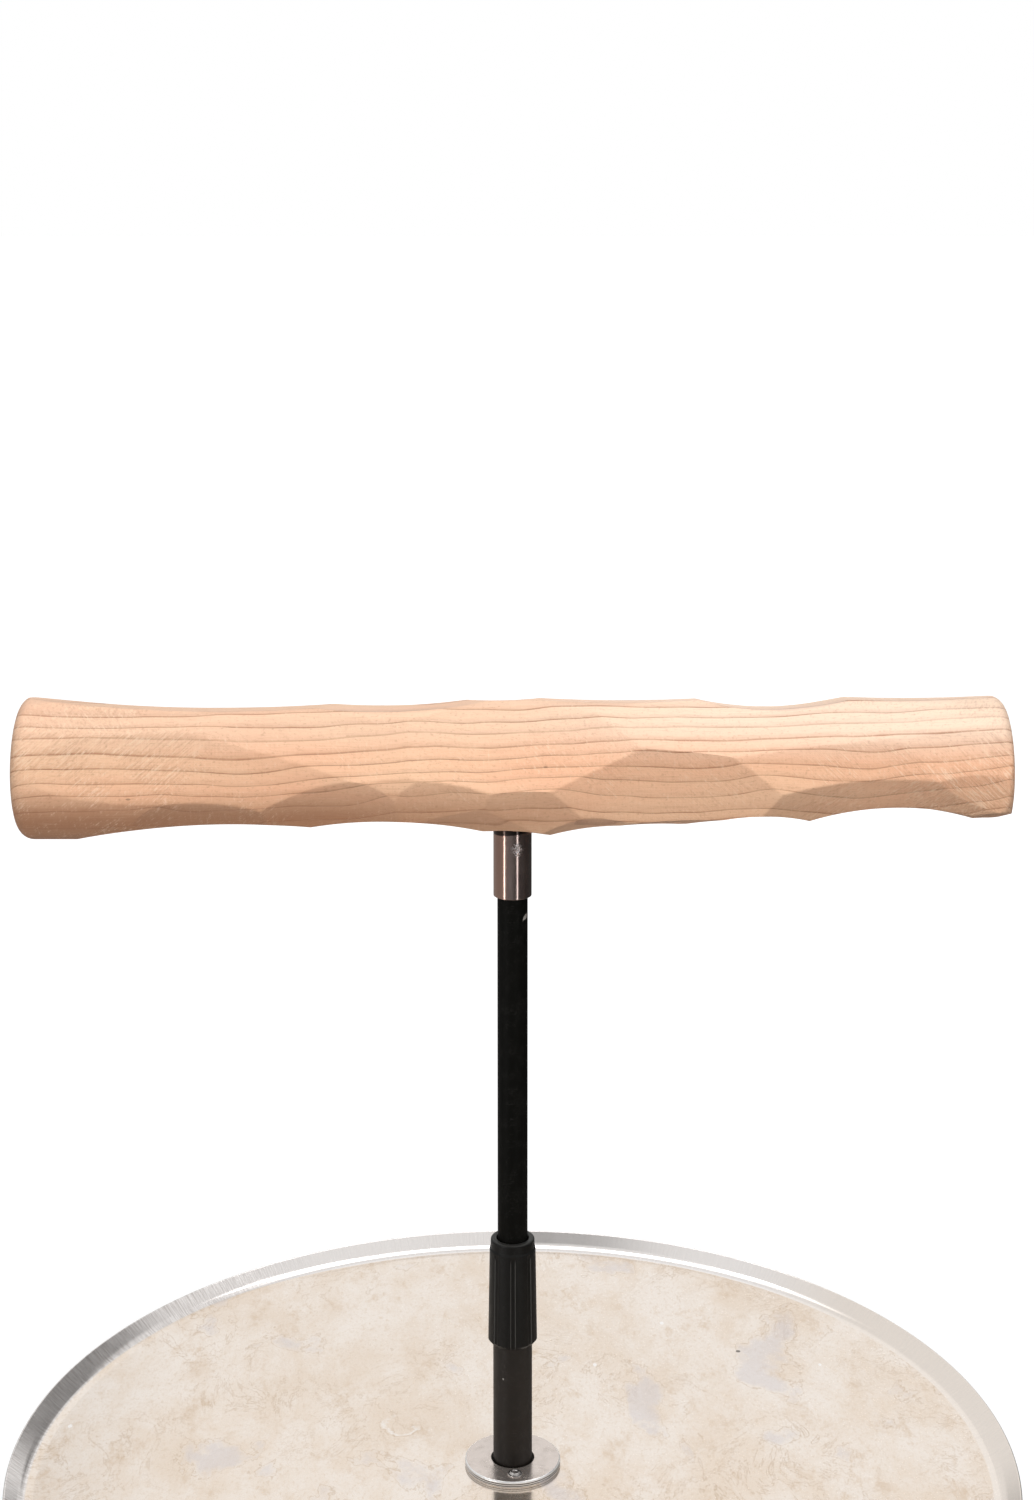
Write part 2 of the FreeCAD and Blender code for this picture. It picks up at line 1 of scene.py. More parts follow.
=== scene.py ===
import bmesh
import bpy
import numpy as np
from math import cos, pi, radians, sin, tan
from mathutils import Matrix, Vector


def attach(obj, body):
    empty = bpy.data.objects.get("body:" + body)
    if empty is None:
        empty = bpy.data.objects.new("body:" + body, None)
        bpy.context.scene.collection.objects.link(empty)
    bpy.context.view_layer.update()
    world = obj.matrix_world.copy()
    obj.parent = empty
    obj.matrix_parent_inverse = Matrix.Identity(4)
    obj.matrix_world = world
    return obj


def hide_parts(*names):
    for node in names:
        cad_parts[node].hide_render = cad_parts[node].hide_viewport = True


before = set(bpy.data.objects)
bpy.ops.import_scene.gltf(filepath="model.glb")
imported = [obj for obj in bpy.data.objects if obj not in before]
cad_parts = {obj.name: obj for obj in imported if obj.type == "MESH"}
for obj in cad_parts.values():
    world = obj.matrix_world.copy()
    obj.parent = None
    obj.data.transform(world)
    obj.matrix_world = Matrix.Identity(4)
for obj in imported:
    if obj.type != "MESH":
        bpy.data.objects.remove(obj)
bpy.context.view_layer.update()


# FOOT PADS
# Six round rubber feet, moulded black rubber with a soft rounded edge and a shallow dished
# sole. Each is pressed into a seat under the rim of the iron foot.
pad_radius = 0.011
pad_height = 0.005
pad_circle = 0.133
pad_count = 6
pad_dish = 0.0004
pad_dish_radius = pad_radius * 0.62
pad_sole_radius = pad_radius * 0.7
pad_edge_round = 0.0012
pad_colour = (0.02, 0.02, 0.021)
pad_dust_colour = (0.105, 0.098, 0.09)
long_run = 0.0012
hold_distance = 0.0003
sharp_degrees = 38


def outline(corners, rounds, steps):
    """Closed (radius, height) outline with some corners rounded, and holding points beside each."""
    points = []
    for i, corner in enumerate(map(Vector, corners)):
        radius = rounds.get(i)
        if not radius:
            points.append(corner)
            continue
        back = (Vector(corners[i - 1]) - corner).normalized()
        ahead = (Vector(corners[(i + 1) % len(corners)]) - corner).normalized()
        half = back.angle(ahead) / 2
        reach = radius / tan(half)
        centre = corner + (back + ahead).normalized() * (radius / sin(half))
        start = corner + back * reach - centre
        end = corner + ahead * reach - centre
        for k in range(steps + 1):
            points.append(centre + start.lerp(end, k / steps).normalized() * radius)
    held = []
    for here, after in zip(points, points[1:] + points[:1]):
        held.append(here)
        run = (after - here).length
        if run > long_run and max(here.x, after.x) > 0:
            held.append(here.lerp(after, hold_distance / run))
            held.append(here.lerp(after, 1 - hold_distance / run))
    return held


def soften(mesh, degrees):
    """Shade a mesh smooth, but not over edges sharper than the angle."""
    mesh.shade_smooth()
    mesh.set_sharp_from_angle(angle=radians(degrees))


def added(name, data):
    """New object in the scene."""
    made = bpy.data.objects.new(name, data)
    bpy.context.scene.collection.objects.link(made)
    return made


def turned(name, corners, rounds=None, sides=96, steps=6):
    """Mesh object turned about the pole's axis from (radius, height) corners."""
    shape = bmesh.new()
    rings = []
    for radius, height in outline(corners, rounds or {}, steps):
        ring = []
        for k in range(sides if radius > 0 else 1):
            turn = 2 * pi * k / sides
            ring.append(shape.verts.new((radius * cos(turn), radius * sin(turn), height)))
        rings.append(ring)
    for low, high in zip(rings, rings[1:] + rings[:1]):
        if len(low) == len(high) == 1:
            continue
        for k in range(sides):
            n = (k + 1) % sides
            corner = [low[k % len(low)], low[n % len(low)], high[n % len(high)], high[k % len(high)]]
            shape.faces.new(list(dict.fromkeys(corner)))
    mesh = bpy.data.meshes.new(name)
    shape.to_mesh(mesh)
    shape.free()
    soften(mesh, sharp_degrees)
    return added(name, mesh)


class Value:
    """One output of a node. Sums on it add math nodes to the node's tree."""

    def __init__(self, socket):
        self.socket = socket
        self.tree = socket.id_data

    __add__ = lambda self, other: maths("ADD", self, other)
    __sub__ = lambda self, other: maths("SUBTRACT", self, other)
    __rsub__ = lambda self, other: maths("SUBTRACT", other, self)
    __mul__ = lambda self, other: maths("MULTIPLY", self, other)
    __truediv__ = lambda self, other: maths("DIVIDE", self, other)
    __rtruediv__ = lambda self, other: maths("DIVIDE", other, self)
    __abs__ = lambda self: maths("ABSOLUTE", self)


class Outputs:
    """A node's outputs, by name or number."""

    def __init__(self, node):
        self.node = node

    def __getitem__(self, key):
        return Value(self.node.outputs[key])


def join(node, inputs):
    """Link a node's inputs to other nodes' outputs, or set them where a plain value is given."""
    for key, value in inputs.items():
        if isinstance(value, Value):
            value.tree.links.new(value.socket, node.inputs[key])
        elif node.inputs[key].type == "RGBA":
            node.inputs[key].default_value = (*value, 1.0)
        else:
            node.inputs[key].default_value = value


def put(kind, inputs, tree=None, **options):
    """Add a node to the tree that its inputs come from, or to the one given."""
    tree = tree or next(value.tree for value in inputs.values() if isinstance(value, Value))
    node = tree.nodes.new(kind)
    for option, value in options.items():
        setattr(node, option, value)
    join(node, inputs)
    return Outputs(node)


def maths(operation, *values):
    """One sum on values."""
    return put("ShaderNodeMath", dict(enumerate(values)), operation=operation)[0]


def remap(value, low, high, to_low=0.0, to_high=1.0):
    """Soft step of a value from one range to another."""
    inputs = {0: value, 1: low, 2: high, 3: to_low, 4: to_high}
    return put("ShaderNodeMapRange", inputs, interpolation_type="SMOOTHSTEP")[0]


def stretched(place, scale, turn=(0.0, 0.0, 0.0)):
    """A place stretched and then turned, for a pattern with a direction."""
    inputs = {"Vector": place, "Rotation": turn, "Scale": scale}
    return put("ShaderNodeMapping", inputs, vector_type="POINT")[0]


def noise(place, scale, detail=2.0, roughness=0.5, distortion=0.0, turn=(0.0, 0.0, 0.0)):
    """Cloudy noise from 0 to 1. Three scales stretch it, and the turn slants what is stretched."""
    if isinstance(scale, tuple):
        place, scale = stretched(place, scale, turn), 1.0
    values = (place, scale, detail, roughness, distortion)
    names = ("Vector", "Scale", "Detail", "Roughness", "Distortion")
    return put("ShaderNodeTexNoise", dict(zip(names, values)))[0]


def mixed(share, first, second):
    """Mix of two colours."""
    return put("ShaderNodeMix", {0: share, 6: first, 7: second}, data_type="RGBA")[2]


def finish(name, metallic=0.0, roughness=0.5, specular=0.5):
    """New material. Gives it with its shader and its object coordinates."""
    material = bpy.data.materials.new(name)
    material.use_nodes = True
    tree = material.node_tree
    shader = tree.nodes["Principled BSDF"]
    join(shader, {"Metallic": metallic, "Roughness": roughness, "Specular IOR Level": specular})
    return material, shader, put("ShaderNodeTexCoord", {}, tree)["Object"]


def cover(shader, colour, dull, height, depth, **others):
    """Join what a shader shows. A height of 0 to 1 stands the given depth proud of the surface."""
    bump = put("ShaderNodeBump", {"Height": height, "Distance": depth, "Strength": 1.0})["Normal"]
    join(shader, {"Base Color": colour, "Normal": bump, **others})
    if dull:
        join(shader, {"Roughness": dull})


def group(kind, name, sizes, *outputs):
    """New node group with named sockets, for what its first input holds and for each size."""
    tree = bpy.data.node_groups.new(name, kind)
    first, given = ("Place", "Vector") if kind == "ShaderNodeTree" else ("Piece", "Geometry")
    tree.interface.new_socket(first, in_out="INPUT", socket_type="NodeSocket" + given)
    kinds = {int: "NodeSocketInt", float: "NodeSocketFloat", bpy.types.Material: "NodeSocketMaterial"}
    for label, size in sizes.items():
        socket = tree.interface.new_socket(label, in_out="INPUT", socket_type=kinds[type(size)])
        socket.default_value = size
    for label, made in outputs:
        tree.interface.new_socket(label, in_out="OUTPUT", socket_type="NodeSocket" + made)
    return tree, put("NodeGroupInput", {}, tree)


def use(effect, place, **sizes):
    """Place a shared effect in a finish."""
    sizes = {label.capitalize(): size for label, size in sizes.items()}
    return put("ShaderNodeGroup", {"Place": place, **sizes}, node_tree=effect)


# Pebbled skin of moulded rubber and plastic, powder coating and sand-cast iron
pebbled_skin, given = group("ShaderNodeTree", "pebbled_skin", {"Grain": 2500.0}, ("Height", "Float"))
fine_grain = noise(given["Place"], given["Grain"], 3.0, 0.55)
coarse_grain = noise(given["Place"], given["Grain"] * 0.22)
put("NodeGroupOutput", {"Height": coarse_grain * 0.6 + fine_grain * 0.4})


def keep_plain(piece):
    """Keep what a piece's modifiers make of it as a plain mesh, without them."""
    bpy.context.view_layer.update()
    depsgraph = bpy.context.evaluated_depsgraph_get()
    made = bpy.data.meshes.new_from_object(piece.evaluated_get(depsgraph), depsgraph=depsgraph)
    piece.modifiers.clear()
    piece.data = made


def settle(piece, tree, given, geometry, sizes):
    """End a geometry tree, run it on a piece with the sizes, and keep the result."""
    real = put("GeometryNodeRealizeInstances", {0: geometry})[0]
    dressed = put("GeometryNodeSetMaterial", {"Geometry": real, "Material": given["Finish"]})[0]
    put("NodeGroupOutput", {0: dressed})
    modifier = piece.modifiers.new(tree.name, "NODES")
    modifier.node_group = tree
    for socket in tree.interface.items_tree:
        if socket.name in sizes:
            modifier[socket.identifier] = sizes[socket.name]
    keep_plain(piece)


def joined(x=0.0, y=0.0, z=0.0):
    """A place from its X, Y and Z."""
    return put("ShaderNodeCombineXYZ", {0: x, 1: y, 2: z})[0]


def ring_of(piece, count, circle, first_angle, material, turn_spread=0.0, seed=1):
    """Repeat a piece made on the pole's axis round a circle, and leave it as one plain mesh."""
    sizes = {
        "Count": count,
        "Circle radius": circle,
        "First angle": first_angle,
        "Turn spread": turn_spread,
        "Seed": seed,
        "Finish": material,
    }
    tree, given = group("GeometryNodeTree", piece.name + "_ring", sizes, ("Ring", "Geometry"))
    index = put("GeometryNodeInputIndex", {}, tree)[0]
    angle = index * (2 * pi / given["Count"]) + given["First angle"]
    circle_place = joined(
        maths("COSINE", angle) * given["Circle radius"],
        maths("SINE", angle) * given["Circle radius"],
    )
    points = put("GeometryNodePoints", {"Count": given["Count"], "Position": circle_place})[0]
    spread = put("FunctionNodeRandomValue", {"Seed": given["Seed"]}, data_type="FLOAT")["Value"]
    turn = joined(z=spread * given["Turn spread"] + angle)
    rotation = put("FunctionNodeEulerToRotation", {0: turn})[0]
    inputs = {"Points": points, "Instance": given["Piece"], "Rotation": rotation}
    settle(piece, tree, given, put("GeometryNodeInstanceOnPoints", inputs)[0], sizes)


pad_rubber, shader, place = finish("pad_rubber", roughness=0.82, specular=0.3)
dust = remap(noise(place, 140.0, 4.0, 0.6), 0.48, 0.72, 0.0, 0.7)
skin = use(pebbled_skin, place, grain=1800.0)["Height"]
cover(shader, mixed(dust, pad_colour, pad_dust_colour), None, skin, 0.00012)

foot_pads = turned(
    "foot_pads",
    (
        (0.0, pad_dish), (pad_dish_radius, pad_dish),
        (pad_sole_radius, 0.0), (pad_radius, 0.0),
        (pad_radius, pad_height), (0.0, pad_height),
    ),
    {1: 0.0004, 2: 0.0003, 3: pad_edge_round, 4: 0.0003},
    sides=64,
)
ring_of(foot_pads, pad_count, pad_circle, 0.0, pad_rubber)
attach(foot_pads, "base")
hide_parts("base_pads")


# IRON FOOT
# Round sand-cast iron plate with a deep rim, a hub and six ribs underneath, sprayed with a
# black stoving enamel that leaves the sand's texture showing. It carries the pole and the tray.
foot_radius = 0.1524
enamel_colour = (0.018, 0.018, 0.019)
enamel_worn_colour = (0.06, 0.056, 0.052)


def dress(material, *nodes):
    """Give pieces of the frame that stay as they are their finish."""
    for node in nodes:
        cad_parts[node].data.materials[0] = material


def length(place):
    """How far a place is from the origin."""
    return put("ShaderNodeVectorMath", {0: place}, operation="LENGTH")["Value"]


def from_axis(place):
    """How far a place is from the pole's axis."""
    return length(stretched(place, (1.0, 1.0, 0.0)))


def highest(first, *others):
    """The highest of some values."""
    for other in others:
        first = maths("MAXIMUM", first, other)
    return first


base_enamel, shader, place = finish("base_enamel", roughness=0.46, specular=0.45)
near_rim = remap(from_axis(place), foot_radius - 0.006, foot_radius + 0.001)
worn = near_rim * remap(noise(place, 90.0, 5.0, 0.65), 0.5, 0.66)
settled_dust = remap(noise(place, 24.0, 5.0, 0.6), 0.45, 0.75, 0.0, 0.35)
colour = mixed(highest(worn, settled_dust), enamel_colour, enamel_worn_colour)
dull = remap(noise(place, 45.0, 3.0), 0.3, 0.7, 0.38, 0.58)
cover(shader, colour, dull, use(pebbled_skin, place, grain=520.0)["Height"], 0.00035)
dress(base_enamel, "base_casting")


# POLE SCREW AND SPRING WASHER
# Zinc-plated socket-head screw that comes up through the iron foot into the pole, with a split
# spring washer under its head. The lock's ring and the bar's bolt and nut have the same finish.
zinc_colour = (0.56, 0.57, 0.59)
zinc_dull_colour = (0.36, 0.36, 0.36)


def near(value, middle, reach, most=1.0, flat=0.0):
    """The most where a value is within the flat of the middle, and nothing past the reach."""
    return remap(abs(value - middle), flat, reach, most, 0.0)


def parts(place):
    """The X, Y and Z of a place."""
    return put("ShaderNodeSeparateXYZ", {0: place})


# Scratches in three directions and rubbed patches, which handling leaves on metal and paint
handling_marks, given = group(
    "ShaderNodeTree", "handling_marks", {"Reach": 1.0}, ("Scratches", "Float"), ("Smudges", "Float")
)
sized = stretched(given["Place"], given["Reach"])
scratch_sets = []
for turn, size in ((0.4, 1.0), (1.35, 1.3), (2.5, 0.8)):
    lengthwise = noise(sized, (14.0 * size, 900.0 * size, 900.0 * size), 1.0, turn=(0.3 * turn, 0.2, turn))
    patch = remap(noise(sized, 60.0 * size), 0.54, 0.62)
    scratch_sets.append(near(lengthwise, 0.5, 0.012) * patch)
smudges = remap(noise(sized, 28.0, 5.0, 0.6, 0.6), 0.35, 0.7)
put("NodeGroupOutput", {"Scratches": highest(*scratch_sets), "Smudges": smudges})

# Fine lines round the axis that a turning tool or a rolling mill leaves, so many to the metre.
# A radial share of 0 leaves them out of the flat faces.
line_sizes = {"Density": 3000.0, "Radial": 1.0}
turning_lines, given = group("ShaderNodeTree", "turning_lines", line_sizes, ("Lines", "Float"))
along_cut = from_axis(given["Place"]) * given["Radial"] + parts(given["Place"])["Z"]
put("NodeGroupOutput", {"Lines": noise(joined(along_cut * given["Density"]), 1.0, 3.0, 0.7)})


def worked_metal(name, clean, smudged, reach, roughness, depth, rougher=0, grain=0, metallic=1.0, **lines):
    """Metal with handling smudges, over the turned lines or the grain that its making left."""
    material, shader, place = finish(name, metallic, roughness)
    smudges = use(handling_marks, place, reach=reach)["Smudges"]
    dull = smudges * rougher + roughness if rougher else None
    skin = use(turning_lines, place, **lines)["Lines"] if lines else noise(place, grain, 3.0)
    cover(shader, mixed(smudges, clean, smudged), dull, skin, depth)
    return material


plated_steel = worked_metal(
    "plated_steel", zinc_colour, zinc_dull_colour, 3.0, 0.26, 0.00003, 0.18, density=4000.0
)
dress(plated_steel, "pole_screw", "screw_washer", "thrust_ring", "hanger_bolt", "ferrule_nut")


# TRAY
# Round tray spun from 1.6 mm aluminium sheet: a flat floor, a short flared wall and a rounded
# lip. It lies on the iron foot. Washing has left beige water stains and rubbed spots on it.
sheet = 0.0016
floor_radius = 0.311
hole_radius = 0.0139
floor_underside_z = 0.017
floor_z = floor_underside_z + sheet
wall_height = 0.0095
wall_angle = radians(39)
corner_round = 0.015
lip_round = 0.0007
dish_ring_place = (-0.0753, 0.0466, 0.0)
dish_ring_radius = 0.0185
dish_ring_edge = 0.0212
bright_aluminium = (0.9, 0.862, 0.838)
streaked_aluminium = (0.6, 0.555, 0.53)
clean_film = (0.872, 0.795, 0.722)
beige_film = (0.825, 0.705, 0.59)
brown_film = (0.7, 0.555, 0.42)
stain_edge = (0.54, 0.4, 0.275)
grey_water_mark = (0.67, 0.63, 0.645)
pit_colour = (0.09, 0.075, 0.065)
lime_crust = (0.95, 0.925, 0.9)

wall_top_radius = floor_radius + wall_height / tan(wall_angle)
wall_top_z = floor_z + wall_height
spun_tray = turned(
    "spun_tray",
    (
        (hole_radius, floor_underside_z),
        (floor_radius + sheet * tan(wall_angle / 2), floor_underside_z),
        (wall_top_radius + sheet * sin(wall_angle), wall_top_z - sheet * cos(wall_angle)),
        (wall_top_radius, wall_top_z), (floor_radius, floor_z),
        (hole_radius, floor_z),
    ),
    {1: corner_round + sheet, 2: lip_round, 3: lip_round, 4: corner_round},
    sides=360,
    steps=8,
)


def spots(place, scale):
    """Distance to the nearest of many scattered points, as a share of their spacing."""
    return put("ShaderNodeTexVoronoi", {"Vector": place, "Scale": scale})["Distance"]


def beside(place, point):
    """A place as measured from a point."""
    return put("ShaderNodeVectorMath", {0: place, 1: point}, operation="SUBTRACT")[0]


def layered(colour, *layers):
    """A colour under others, each given after the share that it covers."""
    for share, over in layers:
        colour = mixed(share, colour, over)
    return colour


tray_metal, shader, place = finish("tray_metal", metallic=0.72, roughness=0.2)
scratches = use(handling_marks, place, reach=1.0)["Scratches"]
reach = from_axis(place)
at = parts(place)
wall_start = remap(at["X"], -0.24, -0.1, floor_radius - 0.001, floor_radius - 0.005)
on_wall = remap(reach - wall_start, 0.0, 0.0014)
on_floor = 1.0 - on_wall

# Cloudy film of dried water, with brown veins, grey marks and darker drying edges
cloud = noise(place, (11.0, 7.0, 1.0), 8.0, 0.64)
drift = noise(place, (27.0, 14.0, 1.0), 9.0, 0.7, 0.25, turn=(0.0, 0.0, 0.2))
film = remap(cloud * 0.5 + drift * 0.5, 0.4, 0.6)
brown_cloud = noise(place, (44.0, 23.0, 1.0), 9.0, 0.78, 0.15, turn=(0.0, 0.0, -0.3))
grain = noise(place, (420.0, 230.0, 1.0), 6.0, 0.75)
veins = noise(place, (26.0, 15.0, 1.0), 7.0, 0.66, 0.9, turn=(0.0, 0.0, 0.2))
vein_patch = remap(noise(place, 9.0, 3.0), 0.43, 0.6)
grey_cloud = noise(place, (15.0, 9.0, 1.0), 6.0, 0.55, 0.3, turn=(0.0, 0.0, -0.6))

# One broken lime ring where a dish stood, the rubbed band near the rim, pits and lime specks
ring_reach = from_axis(beside(place, dish_ring_place)) + noise(place, 130.0, 4.0) * 0.014
ring_left = remap(noise(place, 48.0, 4.0, 0.6), 0.4, 0.58, 0.05, 0.8)
rim_band = remap(reach, 0.225, 0.285) * on_floor * remap(at["X"], 0.05, 0.2)
crust = near(noise(place, 85.0, 5.0, 0.65, 1.2), 0.5, 0.035) * remap(noise(place, 30.0, 3.0), 0.46, 0.62)
pits = maths("LESS_THAN", spots(place, 16.0), 0.028) * on_floor
slanted = stretched(place, (1.0, 0.6, 1.0), (0.0, 0.0, 0.7))
lime_specks = maths("LESS_THAN", spots(slanted, 24.0), 0.034) * on_floor

# Fine streaks down the wall, which stays brighter than the floor
streaks = noise(joined(maths("ARCTAN2", at["Y"], at["X"]) * 260.0, reach * 60.0), 1.0, 4.0, 0.65)
streak_share = remap(streaks, 0.4, 0.62) * remap(at["X"], -0.24, -0.14, 0.75, 0.12)
duller = remap(at["X"], 0.17, 0.26)
wall_colour = layered(bright_aluminium, (duller, clean_film), (streak_share, streaked_aluminium))

colour = layered(
    clean_film,
    (film, beige_film),
    (remap(brown_cloud, 0.51, 0.7, 0.0, 0.85), brown_film),
    (remap(grain, 0.5, 0.68, 0.0, 0.5), brown_film),
    (near(veins, 0.52, 0.012) * vein_patch * 0.5, stain_edge),
    (remap(grey_cloud, 0.59, 0.66, 0.0, 0.5), grey_water_mark),
    (near(grey_cloud, 0.598, 0.005, 0.45), stain_edge),
    (near(ring_reach, dish_ring_radius, 0.0022, 0.8) * ring_left, lime_crust),
    (near(ring_reach, dish_ring_edge, 0.0008, 0.6) * ring_left, stain_edge),
    (crust * rim_band * 0.42, stain_edge),
    (pits * 0.8, pit_colour),
    (lime_specks * 0.9, lime_crust),
    (on_wall, wall_colour),
)
dull = film * 0.05 + 0.1 + remap(grain, 0.4, 0.8) * 0.03 + scratches * 0.15 - on_wall * 0.03
height = noise(place, 7.0, 2.0, 0.4) * 0.9 + grain * 0.004 - scratches * 0.002
cover(shader, colour, dull, height, 0.0008, Metallic=0.92 - film * 0.1)
spun_tray.data.materials.append(tray_metal)
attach(spun_tray, "base")
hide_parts("tray")


# DISC AND BLIND RIVETS
# Polished aluminium disc, turned with a rounded edge, that stiffens the floor of the tray round
# the pole. Two aluminium blind rivets hold it, each with the broken steel stem in its middle.
disc_radius = 0.0308
disc_thickness = 0.004
disc_top_z = floor_z + disc_thickness
disc_edge_round = 0.0011
disc_groove_heights = (floor_z + 0.001, floor_z + 0.0022)
disc_groove_half = 0.0003
disc_groove_depth = 0.0007
disc_colour = (0.7, 0.62, 0.57)
disc_rubbed_colour = (0.6, 0.53, 0.48)
disc_edge_highlight_colour = (0.86, 0.86, 0.86)
disc_groove_shade_colour = (0.2, 0.18, 0.17)
rivet_count = 2
rivet_circle = 0.021
rivet_first_angle = radians(-86)
rivet_ring = (rivet_count, rivet_circle, rivet_first_angle)
rivet_turn_spread = 2.0
rivet_seed = 4
rivet_tail_z = floor_underside_z - 0.0034
rivet_top_z = disc_top_z + 0.0019
rivet_bore = 0.00145
rivet_tail_radius = 0.0033
rivet_shank_radius = 0.0024
rivet_head_radius = 0.0047
rivet_flange = 0.0006
rivet_dome_radius = 0.0034
rivet_crown_radius = 0.0027
rivet_mouth_radius = 0.0019
rivet_mouth_depth = 0.0009
rivet_colour = (0.59, 0.56, 0.54)
rivet_dull_colour = (0.39, 0.37, 0.36)
stem_radius = 0.0014
stem_top_z = rivet_top_z - 0.0016
stem_tip_radius = 0.0004
stem_head_radius = 0.0023
stem_head_height = 0.0013
stem_colour = (0.1, 0.095, 0.09)

disc_grooves = []
for height in disc_groove_heights:
    disc_grooves.append((disc_radius, height - disc_groove_half))
    disc_grooves.append((disc_radius - disc_groove_depth, height))
    disc_grooves.append((disc_radius, height + disc_groove_half))
pole_disc = turned(
    "pole_disc_polished",
    (
        (hole_radius, floor_z), (disc_radius, floor_z),
        *disc_grooves,
        (disc_radius, disc_top_z), (hole_radius, disc_top_z),
    ),
    {1: 0.0004, 8: disc_edge_round, 9: 0.0003},
    sides=192,
    steps=8,
)
disc_metal, shader, place = finish("disc_metal", metallic=0.84, roughness=0.2)
scratches = use(handling_marks, place, reach=2.2)["Scratches"]
lines = use(turning_lines, place, density=2600.0)["Lines"]
rubbed = highest(scratches, remap(noise(place, 95.0, 5.0, 0.65, 0.8), 0.42, 0.68, 0.0, 0.8))
on_edge = remap(from_axis(place), disc_radius - 0.001, disc_radius - 0.0005)
# Painted highlight: the edge whiter than the disc's face
colour = layered(disc_colour, (rubbed, disc_rubbed_colour), (on_edge, disc_edge_highlight_colour))
height_up = parts(place)["Z"]
# Painted shade: darker in the two grooves round the edge
for height in disc_groove_heights:
    groove_shade = near(height_up, height, 0.00036, flat=0.00018) * on_edge
    colour = mixed(groove_shade, colour, disc_groove_shade_colour)
cover(shader, colour, rubbed * 0.12 + 0.2 + on_edge * 0.14, lines * 0.4 - scratches * 0.6, 0.00003)
pole_disc.data.materials.append(disc_metal)
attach(pole_disc, "base")
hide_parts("pole_disc")

rivet_metal = worked_metal(
    "rivet_metal", rivet_colour, rivet_dull_colour, 5.0, 0.24, 0.00004, 0.12, grain=900.0, metallic=0.96
)
blind_rivets = turned(
    "blind_rivets",
    (
        (rivet_bore, rivet_tail_z), (rivet_tail_radius, rivet_tail_z),
        (rivet_tail_radius, floor_underside_z), (rivet_shank_radius, floor_underside_z),
        (rivet_shank_radius, disc_top_z), (rivet_head_radius, disc_top_z),
        (rivet_head_radius, disc_top_z + rivet_flange),
        (rivet_dome_radius, disc_top_z + rivet_flange + 0.0001), (rivet_crown_radius, rivet_top_z),
        (rivet_mouth_radius, rivet_top_z), (rivet_bore, rivet_top_z - rivet_mouth_depth),
    ),
    {1: 0.0005, 5: 0.00015, 6: 0.0003, 7: 0.0005, 8: 0.0006, 9: 0.0002},
    sides=64,
)
ring_of(blind_rivets, *rivet_ring, rivet_metal, rivet_turn_spread, rivet_seed)
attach(blind_rivets, "base")
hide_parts("disc_rivets")

stem_steel = worked_metal("stem_steel", stem_colour, zinc_dull_colour, 6.0, 0.38, 0.00015, grain=1500.0)
rivet_stems = turned(
    "rivet_stems",
    (
        (0.0, rivet_tail_z - stem_head_height), (stem_head_radius, rivet_tail_z - stem_head_height),
        (stem_head_radius, rivet_tail_z), (stem_radius, rivet_tail_z),
        (stem_radius, stem_top_z - 0.0004), (stem_tip_radius, stem_top_z),
        (0.0, stem_top_z),
    ),
    {1: 0.0005, 5: 0.0001},
    sides=32,
)
ring_of(rivet_stems, *rivet_ring, stem_steel, rivet_turn_spread, rivet_seed)
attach(rivet_stems, "base")
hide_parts("rivet_mandrels")


# LOWER TUBE
# Welded steel tube, 25 mm across, with a satin black powder coating. It stands on the iron foot
# and the pole screw draws it down by the tapped aluminium plug in its foot.
lower_radius = 0.0125
lower_bore = 0.011
lower_foot_z = 0.017
lower_top_z = 0.148
tube_end_round = 0.0004
lower_chip_place = (-0.0061, -0.0109, 0.0818)
lower_chip_size = 0.0007
coating_black = (0.0068, 0.005, 0.0038)
coating_brown = (0.01, 0.007, 0.0052)
coating_speck = (0.32, 0.3, 0.28)

lower_tube = turned(
    "lower_tube_coated",
    (
        (lower_bore, lower_foot_z), (lower_radius, lower_foot_z),
        (lower_radius, lower_top_z), (lower_bore, lower_top_z),
    ),
    {1: tube_end_round, 2: tube_end_round},
    sides=160,
)


def black_coating(name, black, rubbed_black, chip_place, chip_size, chip_stretch, specular):
    """Powder coating with a pebbled skin, rubbed patches and one ragged, slanted chip."""
    material, shader, place = finish(name, roughness=0.5, specular=specular)
    skin = use(pebbled_skin, place, grain=2300.0)["Height"]
    marks = use(handling_marks, place, reach=1.6)
    slanted = stretched(beside(place, chip_place), (1.0, 1.0, 1.0), (0.0, 0.85, 0.0))
    away = length(stretched(slanted, (1.0, 1.0, chip_stretch)))
    ragged = noise(place, 1400.0, 3.0, 0.7) * (1.6 * chip_size) + away
    chip = remap(ragged, 1.35 * chip_size, 1.75 * chip_size, 1.0, 0.0)
    chipped = highest(chip, marks["Scratches"] * 0.1)
    colour = layered(black, (marks["Smudges"], rubbed_black), (chipped, coating_speck))
    cover(shader, colour, marks["Smudges"] * 0.1 + 0.45, skin - chip * 1.5, 0.00005)
    return material


tube_black = black_coating(
    "tube_black", coating_black, coating_brown, lower_chip_place, lower_chip_size, 1.0, specular=0.34
)
lower_tube.data.materials.append(tube_black)
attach(lower_tube, "base")
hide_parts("lower_tube")

insert_metal = worked_metal(
    "insert_metal", disc_colour, disc_rubbed_colour, 3.0, 0.3, 0.00003, density=3500.0
)
dress(insert_metal, "tube_foot_insert", "tube_top_insert")


# INSIDE OF THE TWIST LOCK
# Turned brass sleeve with the lock's thread, pressed on the lower tube, and the split nylon
# collet that its cone squeezes on the upper tube.
brass_colour = (0.7, 0.5, 0.22)
brass_dull_colour = (0.46, 0.33, 0.16)
nylon_colour = (0.72, 0.7, 0.65)
nylon_shade_colour = (0.58, 0.55, 0.49)

